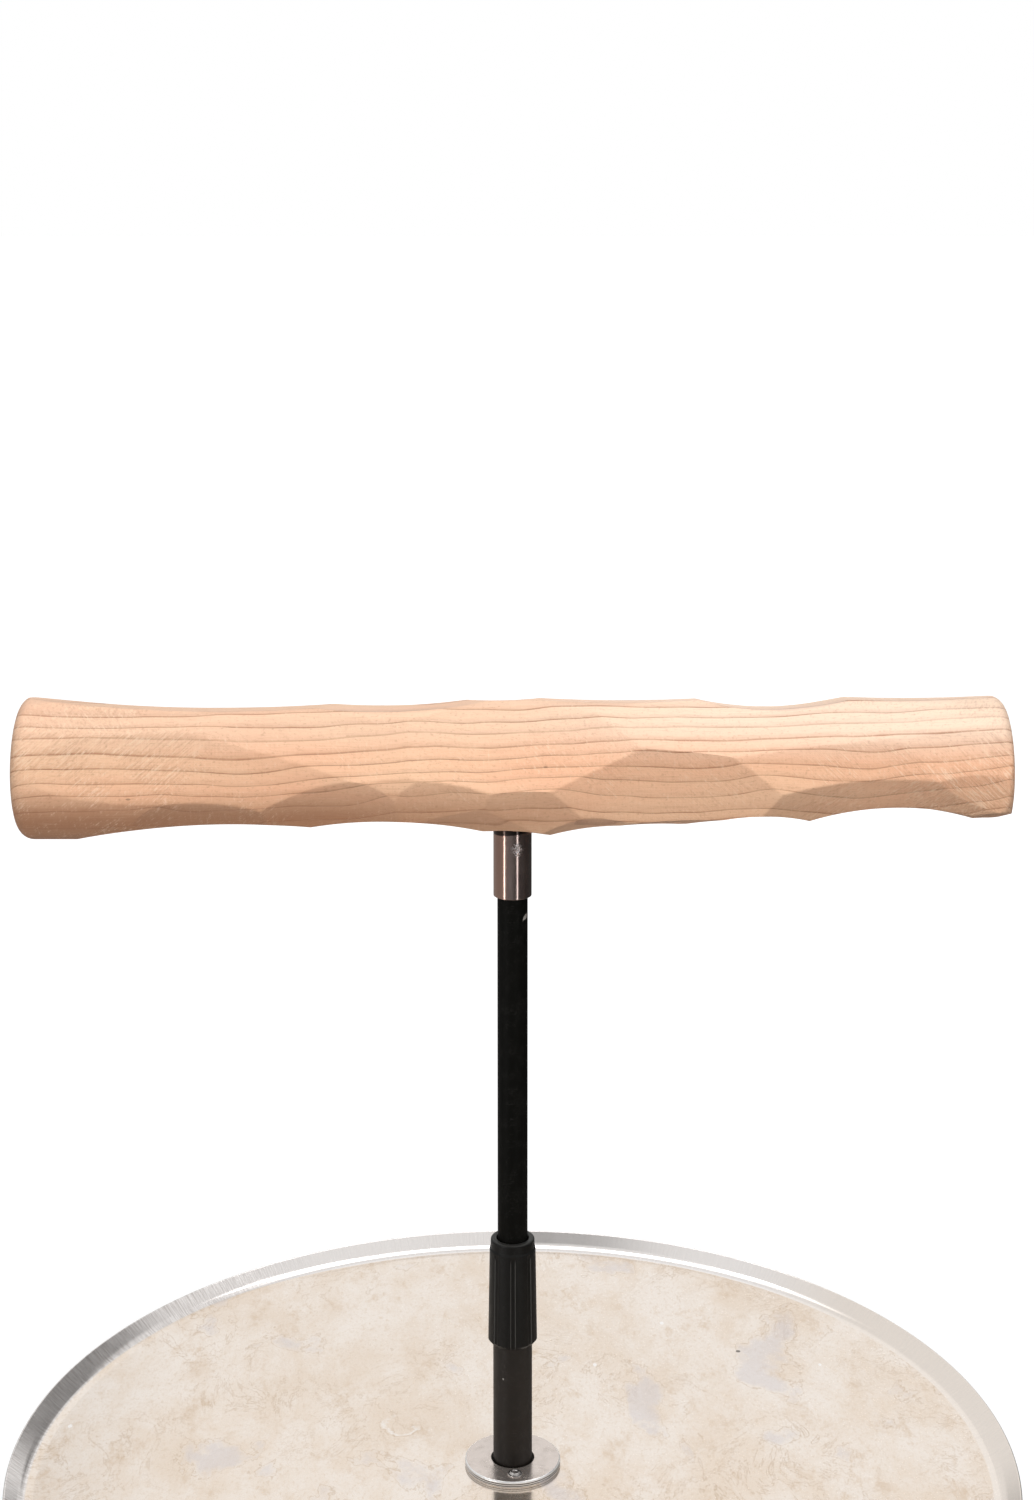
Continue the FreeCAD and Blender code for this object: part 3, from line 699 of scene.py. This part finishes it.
lock_brass = worked_metal(
    "lock_brass", brass_colour, brass_dull_colour, 3.0, 0.28, 0.00015, density=900.0, radial=0.0
)
dress(lock_brass, "lock_body")

collet_plastic, shader, place = finish("collet_plastic", roughness=0.42, specular=0.5)
colour = mixed(noise(place, 160.0, 3.0), nylon_colour, nylon_shade_colour)
cover(shader, colour, None, use(pebbled_skin, place, grain=2600.0)["Height"], 0.00003)
dress(collet_plastic, "lock_collet")


# TWIST-LOCK COLLAR
# Moulded black plastic grip, tapered, with a plain band and a rounded lip on top, and eight
# shallow finger grooves down to a chamfered foot. It is screwed down on the brass sleeve.
collar_foot_z = 0.103
collar_top_z = 0.1728
collar_top_radius = 0.01395
collar_band_radius = 0.01415
collar_foot_radius = 0.0158
collar_band_z = collar_top_z - 0.006
collar_ramp = 0.0012
collar_rib = 0.0006
collar_chamfer = (0.0018, 0.0022)
collar_hole = 0.010175
collar_web_z = collar_top_z - 0.0049
collar_thread = 0.01185
collar_skirt = 0.01315
collar_thread_foot_z = 0.151
groove_count = 8
groove_width = radians(11)
groove_first_angle = radians(-89)
groove_ramp = 0.005
groove_edge_share = 0.22
edge_wear_and_highlight_top_z = 0.164
rib_steps = 44
collar_black = (0.0026, 0.0026, 0.0022)
collar_rubbed_black = (0.0048, 0.0046, 0.0041)
collar_edge_wear_and_highlight = (0.065, 0.064, 0.06)

rib_top_radius = collar_band_radius + collar_rib
rib_taper = (collar_foot_radius - rib_top_radius) / (collar_band_z - collar_foot_z)
rib_foot = (collar_foot_radius - collar_chamfer[1] * rib_taper, collar_foot_z + collar_chamfer[1])
rib_top = (rib_top_radius + collar_ramp * rib_taper, collar_band_z - collar_ramp)


def ladder(foot, top, steps):
    """Evenly spaced points up a straight line, with both its ends."""
    return [Vector(foot).lerp(Vector(top), k / steps) for k in range(steps + 1)]


grip = turned(
    "lock_collar_grip",
    [
        (collar_skirt, collar_foot_z), (collar_foot_radius - collar_chamfer[0], collar_foot_z),
        *ladder(rib_foot, rib_top, rib_steps),
        (collar_band_radius, collar_band_z), (collar_top_radius, collar_top_z),
        (collar_hole, collar_top_z), (collar_hole, collar_web_z),
        (collar_thread, collar_web_z), (collar_thread, collar_thread_foot_z),
        (collar_skirt, collar_thread_foot_z),
    ],
    {1: 0.0003, rib_steps + 2: 0.0004, rib_steps + 4: 0.0013, rib_steps + 5: 0.0007},
    sides=352,
)


def off_groove(at, first_angle, pitch):
    """How far a place is from the middle of the nearest groove, as a share of their pitch."""
    turns = (maths("ARCTAN2", at["Y"], at["X"]) - first_angle) / pitch
    return abs(turns - maths("ROUND", turns))


collar_plastic, shader, place = finish("collar_plastic", roughness=0.44, specular=0.2)
skin = use(pebbled_skin, place, grain=2800.0)["Height"]
marks = use(handling_marks, place, reach=2.0)
at = parts(place)
groove_pitch = 2 * pi / groove_count
edge_place = groove_width / 2 / groove_pitch
# Lighter groove edges below the band, part rubbed wear and part painted highlight, and a painted highlight
# round the lip
on_edge = near(off_groove(at, groove_first_angle, groove_pitch), edge_place, 0.03, 0.8, flat=0.008)
on_edge = on_edge * remap(at["Z"], edge_wear_and_highlight_top_z, edge_wear_and_highlight_top_z - 0.004)
lip_highlight = remap(at["Z"], collar_top_z - 0.0008, collar_top_z - 0.0003, 0.0, 0.35)
edges = highest(on_edge, lip_highlight)
colour = layered(collar_black, (marks["Smudges"], collar_rubbed_black), (edges, collar_edge_wear_and_highlight))
cover(shader, colour, marks["Smudges"] * 0.1 + 0.4, skin - marks["Scratches"] * 0.5, 0.00006)

# Evenly spaced finger grooves with soft edges, pressed into the collar's outside
sizes = {
    "Count": groove_count,
    "Width": groove_width,
    "First angle": groove_first_angle,
    "Depth": collar_rib,
    "Edge share": groove_edge_share,
    "Top height": collar_band_z,
    "Run-out": groove_ramp,
    "Inside radius": collar_skirt + 0.0002,
    "Finish": collar_plastic,
}
tree, given = group("GeometryNodeTree", "finger_grooves", sizes, ("Grip", "Geometry"))
at = parts(put("GeometryNodeInputPosition", {}, tree)[0])
pitch = 2 * pi / given["Count"]
half = given["Width"] * 0.5
soft = given["Width"] * given["Edge share"] * 0.5
off_middle = off_groove(at, given["First angle"], pitch) * pitch
across = remap(off_middle, half - soft, half + soft, 1.0, 0.0)
up = remap(at["Z"], given["Top height"] - given["Run-out"], given["Top height"], 1.0, 0.0)
radius = length(joined(at["X"], at["Y"]))
outside = maths("GREATER_THAN", radius, given["Inside radius"])
push = across * up * outside * given["Depth"] / radius * -1.0
inputs = {"Geometry": given["Piece"], "Offset": joined(at["X"] * push, at["Y"] * push)}
settle(grip, tree, given, put("GeometryNodeSetPosition", inputs)[0], sizes)
soften(grip.data, sharp_degrees)
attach(grip, "collar")
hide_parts("lock_collar")
dress(collar_plastic, "tube_glide", "end_plug")


# UPPER TUBE
# Welded steel tube, 19 mm across, in the same black powder coating but duller. A bead is rolled
# round it near its foot, and the coating has one chip close under the ferrule.
upper_radius = 0.009525
upper_bore = 0.008325
upper_foot_z = 0.107
upper_top_z = 0.4359
bead_foot_z = upper_foot_z + 0.012
bead_height = 0.002
bead_step = 0.00075
bead_round = 0.0006
upper_chip_place = (0.008, -0.0052, 0.3862)
upper_chip_size = 0.0034
upper_black = (0.0034, 0.0034, 0.0028)
upper_rubbed = (0.0042, 0.004, 0.0034)

upper_tube = turned(
    "upper_tube_coated",
    (
        (upper_bore, upper_foot_z), (upper_radius, upper_foot_z),
        (upper_radius, bead_foot_z), (upper_radius + bead_step, bead_foot_z + bead_height / 2),
        (upper_radius, bead_foot_z + bead_height), (upper_radius, upper_top_z),
        (upper_bore, upper_top_z),
    ),
    {1: tube_end_round, 3: bead_round, 5: tube_end_round},
    sides=144,
)
upper_tube_black = black_coating(
    "upper_tube_black", upper_black, upper_rubbed, upper_chip_place, upper_chip_size, 2.4, specular=0.05
)
upper_tube.data.materials.append(upper_tube_black)
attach(upper_tube, "mast")
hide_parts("upper_tube")


# FERRULE
# Stainless steel cup turned from bar, 24 mm across, over the pole's top and sunk a little way
# into the timber. A punched dimple near its top stakes it to the tube.
ferrule_radius = 0.012
ferrule_bore = 0.009675
ferrule_bolt_hole = 0.0041
ferrule_foot_z = 0.3988
ferrule_top_z = 0.4479
ferrule_web_z = 0.4429
ferrule_rings = 96
dimple_angle = radians(-75)
dimple_z = 0.43114
dimple_radius = 0.0016
dimple_depth = 0.00035
seat_line_z = 0.4402
steel_colour = (0.38, 0.3, 0.275)
steel_dark_colour = (0.26, 0.195, 0.18)
# Brown of the painted reflection on the ferrule's left side
steel_reflection_brown = (0.46, 0.28, 0.215)
# Colour of the painted shade under the timber
seat_shade_colour = (0.02, 0.016, 0.014)

ferrule = turned(
    "ferrule_steel_cup",
    [
        (ferrule_bore, ferrule_foot_z),
        *ladder((ferrule_radius, ferrule_foot_z), (ferrule_radius, ferrule_top_z), ferrule_rings),
        (ferrule_bolt_hole, ferrule_top_z), (ferrule_bolt_hole, ferrule_web_z),
        (ferrule_bore, ferrule_web_z),
    ],
    {0: 0.0003, 1: 0.0004, ferrule_rings + 1: 0.0004},
    sides=224,
)
dimple_side = Vector((cos(dimple_angle), sin(dimple_angle)))
dimple_place = Vector((*(ferrule_radius * dimple_side), dimple_z))
for vertex in ferrule.data.vertices:
    outward = Vector((vertex.co.x, vertex.co.y, 0.0))
    away = (vertex.co - dimple_place).length / dimple_radius
    if outward.length >= ferrule_radius - 0.0002 and away < 1:
        vertex.co -= outward.normalized() * (dimple_depth * (1 - away * away))

ferrule_steel, shader, place = finish("ferrule_steel", metallic=1.0, roughness=0.23)
upright = put("ShaderNodeCombineXYZ", {2: 1.0}, place.tree)[0]
smudges = use(handling_marks, place, reach=2.4)["Smudges"]
lines = use(turning_lines, place, density=5200.0, radial=0.0)["Lines"]
tarnish = remap(noise(place, (110.0, 110.0, 22.0), 4.0, 0.6), 0.35, 0.7)
near_dimple = remap(length(beside(place, tuple(dimple_place))), 0.0018, 0.0055, 1.0, 0.0)
bruise = near_dimple * remap(noise(place, 900.0, 4.0), 0.45, 0.6)
at = parts(place)
# Painted shade: a dark band round the ferrule's top, following the timber's lower edge, where the bar
# shades it
seat_shade = remap(at["Z"] - at["X"] * 0.1, seat_line_z - 0.0004, seat_line_z + 0.0004, 0.0, 0.92)
colour = layered(
    steel_colour,
    (tarnish, steel_dark_colour),
    # Painted reflection: the ferrule's left side tinted brown, as if mirroring warm light from the left
    (remap(at["X"], -0.007, -0.002, 0.8, 0.0), steel_reflection_brown),
    (bruise * 0.6, zinc_colour),
    (seat_shade, seat_shade_colour),
)
dull = smudges * 0.03 + 0.23 + bruise * 0.15
cover(shader, colour, dull, bruise * 1.5 + lines * 0.02, 0.00003, Anisotropic=0.92, Tangent=upright)
ferrule.data.materials.append(ferrule_steel)
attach(ferrule, "mast")
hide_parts("perch_ferrule")


# PERCH BAR
# Solid softwood bar, 610 mm long, turned to 89 mm and then carved all round with a drum cutter
# in long overlapping scallops, and sanded by hand. The ferrule is sunk into its underside.
bar_length = 0.6096
bar_radius = 0.04445
bar_axis_z = 0.48085
bar_end_round = 0.009
bar_seat_gap = 0.0003
bar_mouth_gap = 0.0012
bar_mouth_z = 0.444
bolt_hole_radius = 0.00405
bolt_top_z = ferrule_top_z + 0.0425
along_steps = 412
around_steps = 224
end_steps = 8
end_rings = 6
ridge_degrees = 55

# Scallops: place along the bar in thousandths of its length, direction round it in degrees (0
# front, 90 top), length in thousandths of the bar's, depth in those of its radius, and turn.
scallops = (
    (-362, 13, 250, 130, -4), (-270, 5, 225, 170, 12), (-185, 30, 260, 132, 0),
    (-305, -42, 150, 150, -4), (-185, -30, 150, 185, -2), (-68, -21, 105, 115, -6),
    (-40, -46, 130, 130, 12), (14, -28, 120, 108, 4), (0, 31, 255, 240, -5),
    (153, -8, 240, 200, 4), (87, -62, 120, 160, 0), (235, 52, 320, 140, 0),
    (325, 12, 230, 110, 4), (368, -32, 240, 250, 8), (372, 66, 105, 60, 10),
    (450, 20, 160, 80, 0), (455, -10, 90, 100, -14), (-400, 60, 200, 70, 6),
    (-277, -76, 330, 215, 0), (-128, -76, 262, 254, 0), (-12, -74, 140, 115, 0),
    (127, -78, 212, 213, 0), (190, -72, 310, 240, 0), (251, -78, 200, 351, 0),
    (389, -76, 277, 444, 0), (497, -72, 220, 330, 0), (-300, 100, 420, 200, 0),
    (-135, 98, 250, 185, 4), (-20, 102, 140, 75, 0), (110, 100, 260, 85, -4),
    (262, 99, 175, 185, 5), (400, 98, 200, 60, -4), (-400, 150, 240, 110, 8),
    (-230, 172, 260, 140, -8), (-50, 152, 240, 110, 6), (110, 176, 270, 130, -7),
    (300, 158, 250, 150, 8), (430, 184, 200, 110, -6), (-360, 212, 250, 130, 6),
    (-140, 218, 260, 150, -6), (60, 214, 210, 100, 8), (240, 222, 260, 170, -5),
    (420, 226, 180, 210, 6),
)


def carved(along, turn):
    """Radius of the carved bar, and which cut made it, at places along and round the bar."""
    past = np.clip(np.abs(along) - (bar_length / 2 - bar_end_round), 0, bar_end_round)
    radius = bar_radius - bar_end_round + np.sqrt(np.maximum(bar_end_round**2 - past**2, 0))
    cut = np.full(along.shape, -1)
    zero = np.zeros(along.shape)
    ray = np.stack([zero, -np.cos(turn), np.sin(turn)], -1)
    for number, (place, direction, long, deep, skew) in enumerate(scallops):
        depth = deep / 1000 * bar_radius
        half = long / 1000 * bar_length / 2
        drum = (half * half + depth * depth) / (2 * depth)
        angle, skew = radians(direction), radians(skew)
        outward = np.array([0.0, -cos(angle), sin(angle)])
        across = np.cross([1.0, 0.0, 0.0], outward)
        axis = across * cos(skew) + np.cross(outward, across) * sin(skew)
        centre = np.array([place / 1000 * bar_length, 0.0, 0.0]) + outward * (bar_radius - depth + drum)
        from_centre = np.stack([along, zero, zero], -1) - centre
        ray_on_axis = ray @ axis
        from_on_axis = from_centre @ axis
        a = 1 - ray_on_axis**2
        b = 2 * ((from_centre * ray).sum(-1) - from_on_axis * ray_on_axis)
        c = (from_centre**2).sum(-1) - from_on_axis**2 - drum**2
        inside = b * b - 4 * a * c
        reach = (-b - np.sqrt(np.maximum(inside, 0))) / (2 * np.maximum(a, 1e-9))
        nearer = (inside > 0) & (a > 1e-9) & (reach > 0) & (reach < radius)
        radius = np.where(nearer, reach, radius)
        cut = np.where(nearer, number, cut)
    return radius, cut


# Grid round the bar, with its points drawn on to the ridges between the cuts
end_places = bar_length / 2 - bar_end_round * (1 - np.sin(np.linspace(0, pi / 2, end_steps + 1)))
middle = np.linspace(-end_places[0], end_places[0], along_steps - 2 * end_steps + 1)
places = np.concatenate([-end_places[::-1], middle[1:-1], end_places])
turns = np.linspace(0, 2 * pi, around_steps, endpoint=False)
along, turn = np.meshgrid(places, turns, indexing="ij")
radius, cut = carved(along, turn)
nearest = np.full(along.shape, 9.0)
shift = np.zeros(along.shape + (2,))
for step_along, step_around in ((1, 0), (0, 1)):
    crosses = np.roll(cut, (-step_along, -step_around), (0, 1)) != cut
    if step_along:
        crosses[-1] = False
    rows, columns = np.nonzero(crosses)
    start_along, start_turn = along[rows, columns], turn[rows, columns]
    run_along = np.roll(along, -step_along, 0)[rows, columns] - start_along
    run_turn = (turn + step_around * 2 * pi / around_steps)[rows, columns] - start_turn
    low, high = np.zeros(len(rows)), np.ones(len(rows))
    for _ in range(12):
        half_way = (low + high) / 2
        _, cut_there = carved(start_along + half_way * run_along, start_turn + half_way * run_turn)
        same = cut_there == cut[rows, columns]
        low = np.where(same, half_way, low)
        high = np.where(same, high, half_way)
    far_rows, far_columns = (rows + step_along) % len(along), (columns + step_around) % around_steps
    for r, c, distance, sign in ((rows, columns, low, 1), (far_rows, far_columns, 1 - low, -1)):
        for k in np.nonzero(distance < 0.5)[0]:
            if distance[k] < nearest[r[k], c[k]]:
                nearest[r[k], c[k]] = distance[k]
                shift[r[k], c[k]] = sign * distance[k] * run_along[k], sign * distance[k] * run_turn[k]
on_ridge = nearest < 1
on_ridge[0] = on_ridge[-1] = False
along = along + np.where(on_ridge, shift[..., 0], 0)
turn = turn + np.where(on_ridge, shift[..., 1], 0)
radius, _ = carved(along, turn)
points = np.stack([along, -radius * np.cos(turn), radius * np.sin(turn) + bar_axis_z], -1).reshape(-1, 3)

# Two triangles in each cell of the grid, split along the ridge or else the shorter way
number = np.arange(along.size).reshape(along.shape)
beyond = np.roll(number, -1, 1)
near_a, near_b, far_a, far_b = (part.ravel() for part in (number[:-1], beyond[:-1], number[1:], beyond[1:]))
flags = on_ridge.ravel()
one_ridge = flags[near_a] & flags[far_b]
other_ridge = flags[near_b] & flags[far_a]
one_length = np.linalg.norm(points[near_a] - points[far_b], axis=-1)
other_length = np.linalg.norm(points[near_b] - points[far_a], axis=-1)
use_one = np.where(one_ridge != other_ridge, one_ridge, one_length <= other_length)
first = np.where(use_one, (near_a, near_b, far_b), (near_a, near_b, far_a))
second = np.where(use_one, (near_a, far_b, far_a), (near_b, far_b, far_a))
faces = [tuple(face) for face in np.concatenate([first.T, second.T])]
vertices = [tuple(point) for point in points]

# Flat ends of narrowing rings round a hub
for row, x in ((0, -bar_length / 2), (-1, bar_length / 2)):
    outer = list(number[row])
    rim = [vertices[vertex] for vertex in outer]
    for k in range(1, end_rings):
        share = 1 - k / end_rings
        inner = list(range(len(vertices), len(vertices) + around_steps))
        vertices += [(x, y * share, (z - bar_axis_z) * share + bar_axis_z) for _, y, z in rim]
        for ring in zip(outer, outer[1:] + outer[:1], inner[1:] + inner[:1], inner):
            faces.append(ring if row else ring[::-1])
        outer = inner
    hub = len(vertices)
    vertices.append((x, 0.0, bar_axis_z))
    for here, after in zip(outer, outer[1:] + outer[:1]):
        faces.append((here, after, hub) if row else (hub, after, here))
bar_mesh = bpy.data.meshes.new("perch_bar_carved")
bar_mesh.from_pydata(vertices, [], faces)
shape = bmesh.new()
shape.from_mesh(bar_mesh)
bmesh.ops.recalc_face_normals(shape, faces=shape.faces)
shape.to_mesh(bar_mesh)
shape.free()
perch_bar = added("perch_bar_carved", bar_mesh)

# Bore for the ferrule and the bolt
bore = turned(
    "bar_bore",
    (
        (0.0, ferrule_foot_z), (ferrule_radius + bar_mouth_gap, ferrule_foot_z),
        (ferrule_radius + bar_mouth_gap, bar_mouth_z), (ferrule_radius + bar_seat_gap, bar_mouth_z),
        (ferrule_radius + bar_seat_gap, ferrule_top_z), (bolt_hole_radius, ferrule_top_z),
        (bolt_hole_radius, bolt_top_z), (0.0, bolt_top_z),
    ),
)
boring = perch_bar.modifiers.new("bore", "BOOLEAN")
boring.object = bore
boring.operation = "DIFFERENCE"
boring.solver = "MANIFOLD"
keep_plain(perch_bar)
bpy.data.objects.remove(bore)
bored = perch_bar.data
soften(bored, ridge_degrees)

# Each cut's own sanding direction, kept on the points for the finish
co = np.empty(len(bored.vertices) * 3, np.float32)
bored.vertices.foreach_get("co", co)
co = co.reshape(-1, 3).astype(float)
_, cut = carved(co[:, 0], np.arctan2(co[:, 2] - bar_axis_z, -co[:, 1]))
spread = np.random.default_rng(11).random(len(scallops) + 1)
sanding = bored.attributes.new("sanding", "FLOAT", "POINT")
sanding.data.foreach_set("value", spread[cut].astype(np.float32))

early_wood = (0.875, 0.548, 0.35)
early_wood_pink = (0.86, 0.482, 0.3)
late_wood = (0.4, 0.165, 0.08)
sanded_wood = (0.94, 0.7, 0.51)
top_lit_wood = (0.93, 0.74, 0.59)
shaded_wood = (0.49, 0.245, 0.135)
end_wood = (0.56, 0.34, 0.2)
wood_speck = (0.2, 0.1, 0.05)
pith_y = 0.075
pith_z = 0.21
pith_lean = 0.02
ring_start = 0.15
rings_narrow = 3.4
rings_wide = 5.4
rings_scale = 11.0

# Growth rings round a pith outside the bar, swaying, each ending in a dark line of late wood
carved_wood, shader, place = finish("carved_wood", roughness=0.55, specular=0.5)
centred = beside(place, (0.0, 0.0, bar_axis_z))
at = parts(centred)
sway = noise(centred, (4.2, 7.0, 7.0), 3.0)
ripple = noise(centred, (16.0, 30.0, 30.0))
across_y = at["Y"] - pith_y
across_z = at["Z"] - (at["X"] * pith_lean + pith_z)
from_pith = maths("SQRT", across_y * across_y + across_z * across_z)
from_pith += (sway - 0.5) * 0.03
from_pith += (ripple - 0.5) * 0.0026
from_pith += (noise(joined(from_pith), 55.0) - 0.5) * 0.012
out = (from_pith - ring_start) * rings_scale
ring_count = out * out * rings_narrow + out * rings_wide
ring_part = maths("FRACT", ring_count)
ring_number = maths("FLOOR", ring_count)
ring_chance = put("ShaderNodeTexWhiteNoise", {"W": ring_number}, noise_dimensions="1D")["Value"]
growing = remap(ring_part, 0.4, 0.92, 0.0, 0.3)
late = remap(ring_part, 0.86, 0.945, 0.0, 0.7)
ended = remap(ring_part, 0.965, 0.995, 1.0, 0.0)
broken = remap(noise(centred, (26.0, 260.0, 260.0), 3.0, 0.6), 0.25, 0.75, 0.55, 1.1)
line = (growing + late) * ended * (ring_chance * 0.45 + 0.55) * broken

# Pinker streaks, painted light on the top, painted shade on the low left, fibres, pores, flecks and darker
# ends
tint = remap(noise(centred, (5.0, 22.0, 22.0), 4.0, 0.55), 0.35, 0.68)
# Painted light: the top lighter and paler, more so towards the right
painted_top_light = remap(at["Z"], 0.008, 0.036) * remap(at["X"], -0.05, 0.16, 0.25, 0.75)
# Painted shade: the low left of the bar darker and browner
low_left = remap(at["Z"], 0.000, -0.026) * remap(at["X"], -0.14, 0.08, 1.0, 0.15)
fibre = noise(centred, (45.0, 1500.0, 1500.0), 3.0, 0.6)
pores = noise(centred, (420.0, 700.0, 700.0), 3.0, 0.65)
flecks = spots(stretched(centred, (18.0, 44.0, 44.0)), 1.0)
from_middle = abs(at["X"])
past_end = remap(from_middle, bar_length / 2 - 0.0012, bar_length / 2 - 0.0001, 0.0, 0.55)

# Sanding scratches in two crossed sets, each cut with its own share of them
own = put("ShaderNodeAttribute", {}, place.tree, attribute_name="sanding")["Fac"]
leaning = stretched(centred, (1.0, 1.0, 1.0), (0.0, 0.8, 0.0))
leaning_back = stretched(centred, (1.0, 1.0, 1.0), (0.0, -0.85, 0.0))
first_set = noise(leaning, (900.0, 300.0, 75.0), 3.0, 0.7) - 0.5
second_set = noise(leaning_back, (940.0, 300.0, 80.0), 3.0, 0.7) - 0.5
upright_set = noise(centred, (640.0, 120.0, 120.0), 2.0, 0.6) - 0.5
along_set = noise(centred, (60.0, 420.0, 420.0), 3.0, 0.6)
patchy = remap(noise(centred, 22.0, 3.0), 0.42, 0.62, 0.25, 0.8) * remap(from_middle, 0.12, 0.27, 0.75, 2.2)
scratch = first_set * remap(own, 0.45, 0.55) * patchy
scratch += second_set * remap(own, 0.45, 0.55, 1.0, 0.0) * patchy
scratch += upright_set * 0.35
colour = layered(
    early_wood,
    (tint, early_wood_pink),
    (painted_top_light, top_lit_wood),
    (low_left, shaded_wood),
    (line * 0.95, late_wood),
    (remap(fibre, 0.5, 0.78, 0.0, 0.24), late_wood),
    (remap(fibre, 0.22, 0.48, 0.2, 0.0), sanded_wood),
    (remap(pores, 0.55, 0.72, 0.0, 0.3), late_wood),
    (remap(flecks, 0.02, 0.032, 0.6, 0.0), wood_speck),
    (past_end, end_wood),
    (remap(scratch, 0.02, 0.2, 0.0, 0.5), sanded_wood),
    (remap(scratch, -0.02, -0.2, 0.0, 0.2), late_wood),
)
cover(shader, colour, 0.56 - line * 0.1, scratch + along_set * 0.3 + line * 0.25, 0.0005)
bored.materials.clear()
bored.materials.append(carved_wood)
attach(perch_bar, "mast")
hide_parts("perch_bar")


# FLOOR, LIGHT AND CAMERA
# A plain white studio with a pale floor and soft lamps: overhead, behind, low at the left, in
# front, high at the right, and at the rear for the back. The camera is where the photograph's was.
floor_half = 30
floor_colour = (0.22, 0.22, 0.22)
white = (1.0, 1.0, 1.0)
shade_level = 0.22
strip_level = 5.0
aim = Vector((0.0, 0.0, 0.32))

studio_floor, shader, place = finish("studio_floor", roughness=0.9, specular=0.1)
seen = put("ShaderNodeLightPath", {}, place.tree)
seen_ray = highest(seen["Is Camera Ray"], seen["Is Glossy Ray"], seen["Is Transmission Ray"])
lift = remap(length(place), 0.42, 1.6, 0.86, 1.0) * seen_ray
join(shader, {"Base Color": floor_colour, "Emission Color": white, "Emission Strength": lift})
floor_corners = [(x * floor_half, y * floor_half, 0) for x, y in ((-1, -1), (1, -1), (1, 1), (-1, 1))]
floor_mesh = bpy.data.meshes.new("studio_floor")
floor_mesh.from_pydata(floor_corners, [], [(0, 1, 2, 3)])
floor_mesh.materials.append(studio_floor)
floor = added("studio_floor", floor_mesh)
floor.visible_glossy = False


def band(value, start, full, fading, gone):
    """1 between the full and the fading value, and 0 before the start and once it is gone."""
    return remap(value, start, full) * remap(value, fading, gone, 1.0, 0.0)


# What mirrors in the metal is a painted room: pale walls with a dark stretch behind at the
# right, a dim ground, a ceiling that is dimmer in front at the left, and a bright top behind
world = bpy.data.worlds.new("studio")
bpy.context.scene.world = world
world.use_nodes = True
towards = parts(put("ShaderNodeTexCoord", {}, world.node_tree)["Generated"])
x, y, z = towards["X"], towards["Y"], towards["Z"]
dark_side = remap(x, 0.18, 0.36) * remap(y, -0.05, 0.1) * band(z, 0.2, 0.36, 0.6, 0.8)
wall = remap(y, -0.35, 0.25, 0.85, 1.0) * remap(x, -0.2, -0.12, 0.86, 1.0) * (1.0 - dark_side * 0.76)
ground = remap(x, -0.5, 0.5, 0.4, 0.06)
room = ground + (wall - ground) * remap(z, 0.0, 0.3)
dim_front = remap(y, -0.26, -0.04, 1.0, 0.0) * band(x, -0.5, -0.15, -0.03, 0.0)
ceiling = 0.84 - dim_front * 0.5
room += (ceiling - room) * remap(z, 0.64, 0.8)
high_behind = remap(z, 0.7, 0.76) * band(y, 0.1, 0.25, 0.4, 0.52) * band(x, -0.5, -0.28, 0.18, 0.36)
room += high_behind * 1.1

# Two tall strip lamps low in front, which draw thin lines down the ferrule and the tubes
bearing = maths("ARCTAN2", x, y * -1.0)
low = remap(z, 0.05, 0.2, 1.0, 0.0)
for strip_bearing in (-0.87, 0.52):
    room += near(bearing, strip_bearing, 0.075, flat=0.03) * low * strip_level
seen = put("ShaderNodeLightPath", {}, world.node_tree)
mirrored = highest(seen["Is Glossy Ray"], seen["Is Transmission Ray"])
level = (room - shade_level) * mirrored + shade_level
background = world.node_tree.nodes["Background"]
join(background, {"Color": white, "Strength": highest(level, seen["Is Camera Ray"])})

for name, lamp_place, size, power in (
    ("lamp_overhead", (0.3, -0.7, 1.9), (1.4, 1.0), 18.0),
    ("lamp_behind", (0.1, 0.75, 1.9), (1.6, 0.35), 5.0),
    ("lamp_low_left", (-1.75, -1.47, 0.45), (0.12, 0.8), 7.0),
    ("lamp_front", (0.0, -2.3, 0.8), (1.0, 0.6), 20.0),
    ("lamp_high_right", (1.3, -0.6, 1.6), (0.5, 0.8), 2.5),
    ("lamp_rear", (0.4, 2.2, 0.9), (1.0, 0.6), 11.0),
):
    data = bpy.data.lights.new(name, "AREA")
    data.shape = "RECTANGLE"
    data.size, data.size_y = size
    data.energy = power
    lamp = added(name, data)
    lamp.location = lamp_place
    lamp.rotation_euler = (aim - Vector(lamp_place)).to_track_quat("-Z", "Y").to_euler()
    lamp.visible_glossy = name not in ("lamp_overhead", "lamp_front", "lamp_rear")
    lamp.visible_camera = False

camera_data = bpy.data.cameras.new("camera")
camera_data.sensor_width = 36.0
camera_data.lens = 57.53
camera_data.shift_y = -0.1613
camera_data.clip_start, camera_data.clip_end = 0.01, 100.0
camera = added("camera", camera_data)
camera.location = (0.0028, -1.453, 0.8476)
camera.rotation_euler = (radians(82), 0.0, 0.0)
bpy.context.scene.camera = camera
bpy.context.scene.view_settings.view_transform = "Standard"
